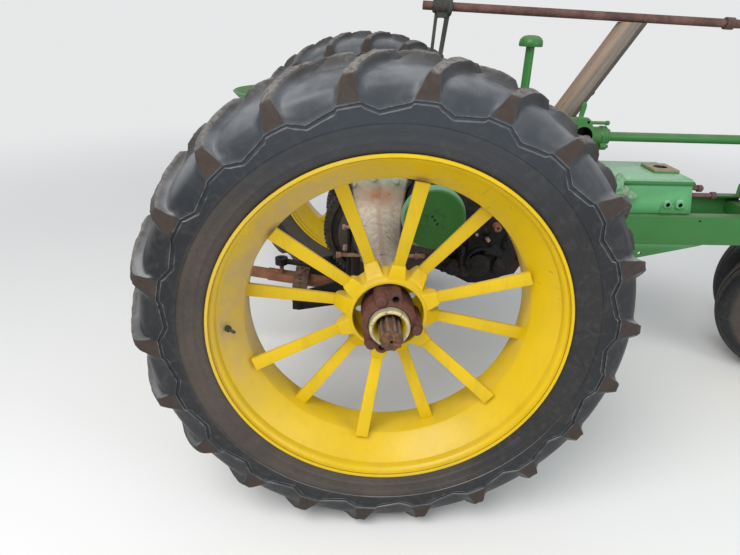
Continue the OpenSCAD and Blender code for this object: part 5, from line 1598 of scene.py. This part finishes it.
def pale_floor():
    """Pale floor that fades into the backdrop's colour away from the tractor, as the camera sees it."""
    f = Finish("pale_floor", rough=0.9)
    f.set("Base Color", (0.84, 0.84, 0.83))
    seen = f.nodes.new("ShaderNodeEmission")
    seen.inputs["Color"].default_value = BACKDROP
    far = f.step(f.vector("LENGTH", f.place), 2.5, 7.0)
    by_camera = Value(f, f.nodes.new("ShaderNodeLightPath").outputs["Is Camera Ray"])
    blend_shaders(f.material.node_tree, f.maths("MULTIPLY", far, by_camera).socket, f.shader, seen,
                  "Material Output")
    return f.material


def soft_sky(strength):
    """A soft light from all round, which the camera and reflections see as the plain backdrop."""
    world = bpy.data.worlds.new("soft_sky")
    world.use_nodes = True
    tree = world.node_tree
    background = tree.nodes["Background"]
    background.inputs["Color"].default_value = (0.93, 0.96, 1.0, 1)
    background.inputs["Strength"].default_value = strength
    seen = tree.nodes.new("ShaderNodeBackground")
    seen.inputs["Color"].default_value = BACKDROP
    path = tree.nodes.new("ShaderNodeLightPath")
    either = tree.nodes.new("ShaderNodeMath")
    either.operation = "MAXIMUM"
    tree.links.new(path.outputs["Is Camera Ray"], either.inputs[0])
    tree.links.new(path.outputs["Is Glossy Ray"], either.inputs[1])
    blend_shaders(tree, either.outputs[0], background, seen, "World Output")
    return world


def soft_lamp(name, place, aim, size, power, colour):
    data = bpy.data.lights.new(name, "AREA")
    data.shape = "DISK"
    data.size = size
    data.energy = power
    data.color = colour
    lamp = new_object(name, data)
    lamp.location = place
    lamp.rotation_euler = (Vector(aim) - Vector(place)).to_track_quat("-Z", "Y").to_euler()


def photo_camera(lens):
    data = bpy.data.cameras.new("photo_camera")
    data.lens = lens
    data.sensor_width = 36
    data.sensor_fit = "HORIZONTAL"
    data.clip_start = 0.05
    camera = new_object("photo_camera", data)
    columns = CAMERA_AXES + ((AXLE.x + CAMERA_FROM_AXLE[0], CAMERA_FROM_AXLE[1],
                              AXLE.z + CAMERA_FROM_AXLE[2]),)
    camera.matrix_world = Matrix([[column[i] for column in columns] for i in range(3)] + [[0, 0, 0, 1]])
    return camera


class TRACTOR_OT_stage(bpy.types.Operator):
    """Sets the floor, the backdrop, the soft lamps and the camera"""
    bl_idname = "tractor.stage"
    bl_label = "Stage"

    def execute(self, context):
        settings = context.scene.tractor_stage
        bm = bmesh.new()
        bmesh.ops.create_grid(bm, x_segments=1, y_segments=1, size=40)
        floor = new_object("floor", mesh_of(bm, "floor"))
        floor.location.z = -0.0005
        floor.data.materials.append(pale_floor())
        context.scene.world = soft_sky(settings.sky)
        for name, place, aim, size, share, colour in LAMPS:
            soft_lamp(name, place, aim, size, settings.lamp * share, colour)
        context.scene.camera = photo_camera(settings.lens)
        context.scene.view_settings.view_transform = "Standard"
        return {"FINISHED"}


class TRACTOR_PT_panel(bpy.types.Panel):
    """Settings and steps of the tractor"""
    bl_label = "Tractor"
    bl_idname = "TRACTOR_PT_panel"
    bl_space_type = "VIEW_3D"
    bl_region_type = "UI"
    bl_category = "Tractor"

    def draw(self, context):
        for settings in (context.scene.tractor_tyre, context.scene.tractor_paint,
                         context.scene.tractor_stage):
            box = self.layout.box()
            for name in settings.__annotations__:
                box.prop(settings, name)
        for operator in OPERATORS:
            self.layout.operator(operator.bl_idname)


OPERATORS = (TRACTOR_OT_finishes, TRACTOR_OT_rear_tyres, TRACTOR_OT_rear_rims, TRACTOR_OT_rear_hubs,
             TRACTOR_OT_front_wheels, TRACTOR_OT_fittings, TRACTOR_OT_castings, TRACTOR_OT_stage)
SETTINGS = {"tractor_tyre": TyreSettings, "tractor_paint": PaintSettings, "tractor_stage": StageSettings}


def register():
    for group in SETTINGS.values():
        bpy.utils.register_class(group)
    for name, group in SETTINGS.items():
        setattr(bpy.types.Scene, name, PointerProperty(type=group))
    for operator in OPERATORS:
        bpy.utils.register_class(operator)
    bpy.utils.register_class(TRACTOR_PT_panel)


def unregister():
    bpy.utils.unregister_class(TRACTOR_PT_panel)
    for operator in reversed(OPERATORS):
        bpy.utils.unregister_class(operator)
    for name, group in SETTINGS.items():
        delattr(bpy.types.Scene, name)
        bpy.utils.unregister_class(group)


def main():
    register()
    bpy.ops.tractor.finishes()
    bpy.ops.tractor.rear_tyres()
    bpy.ops.tractor.rear_rims()
    bpy.ops.tractor.rear_hubs()
    bpy.ops.tractor.front_wheels()
    bpy.ops.tractor.fittings()
    bpy.ops.tractor.castings()
    bpy.ops.tractor.stage()


if __name__ == "__main__":
    main()
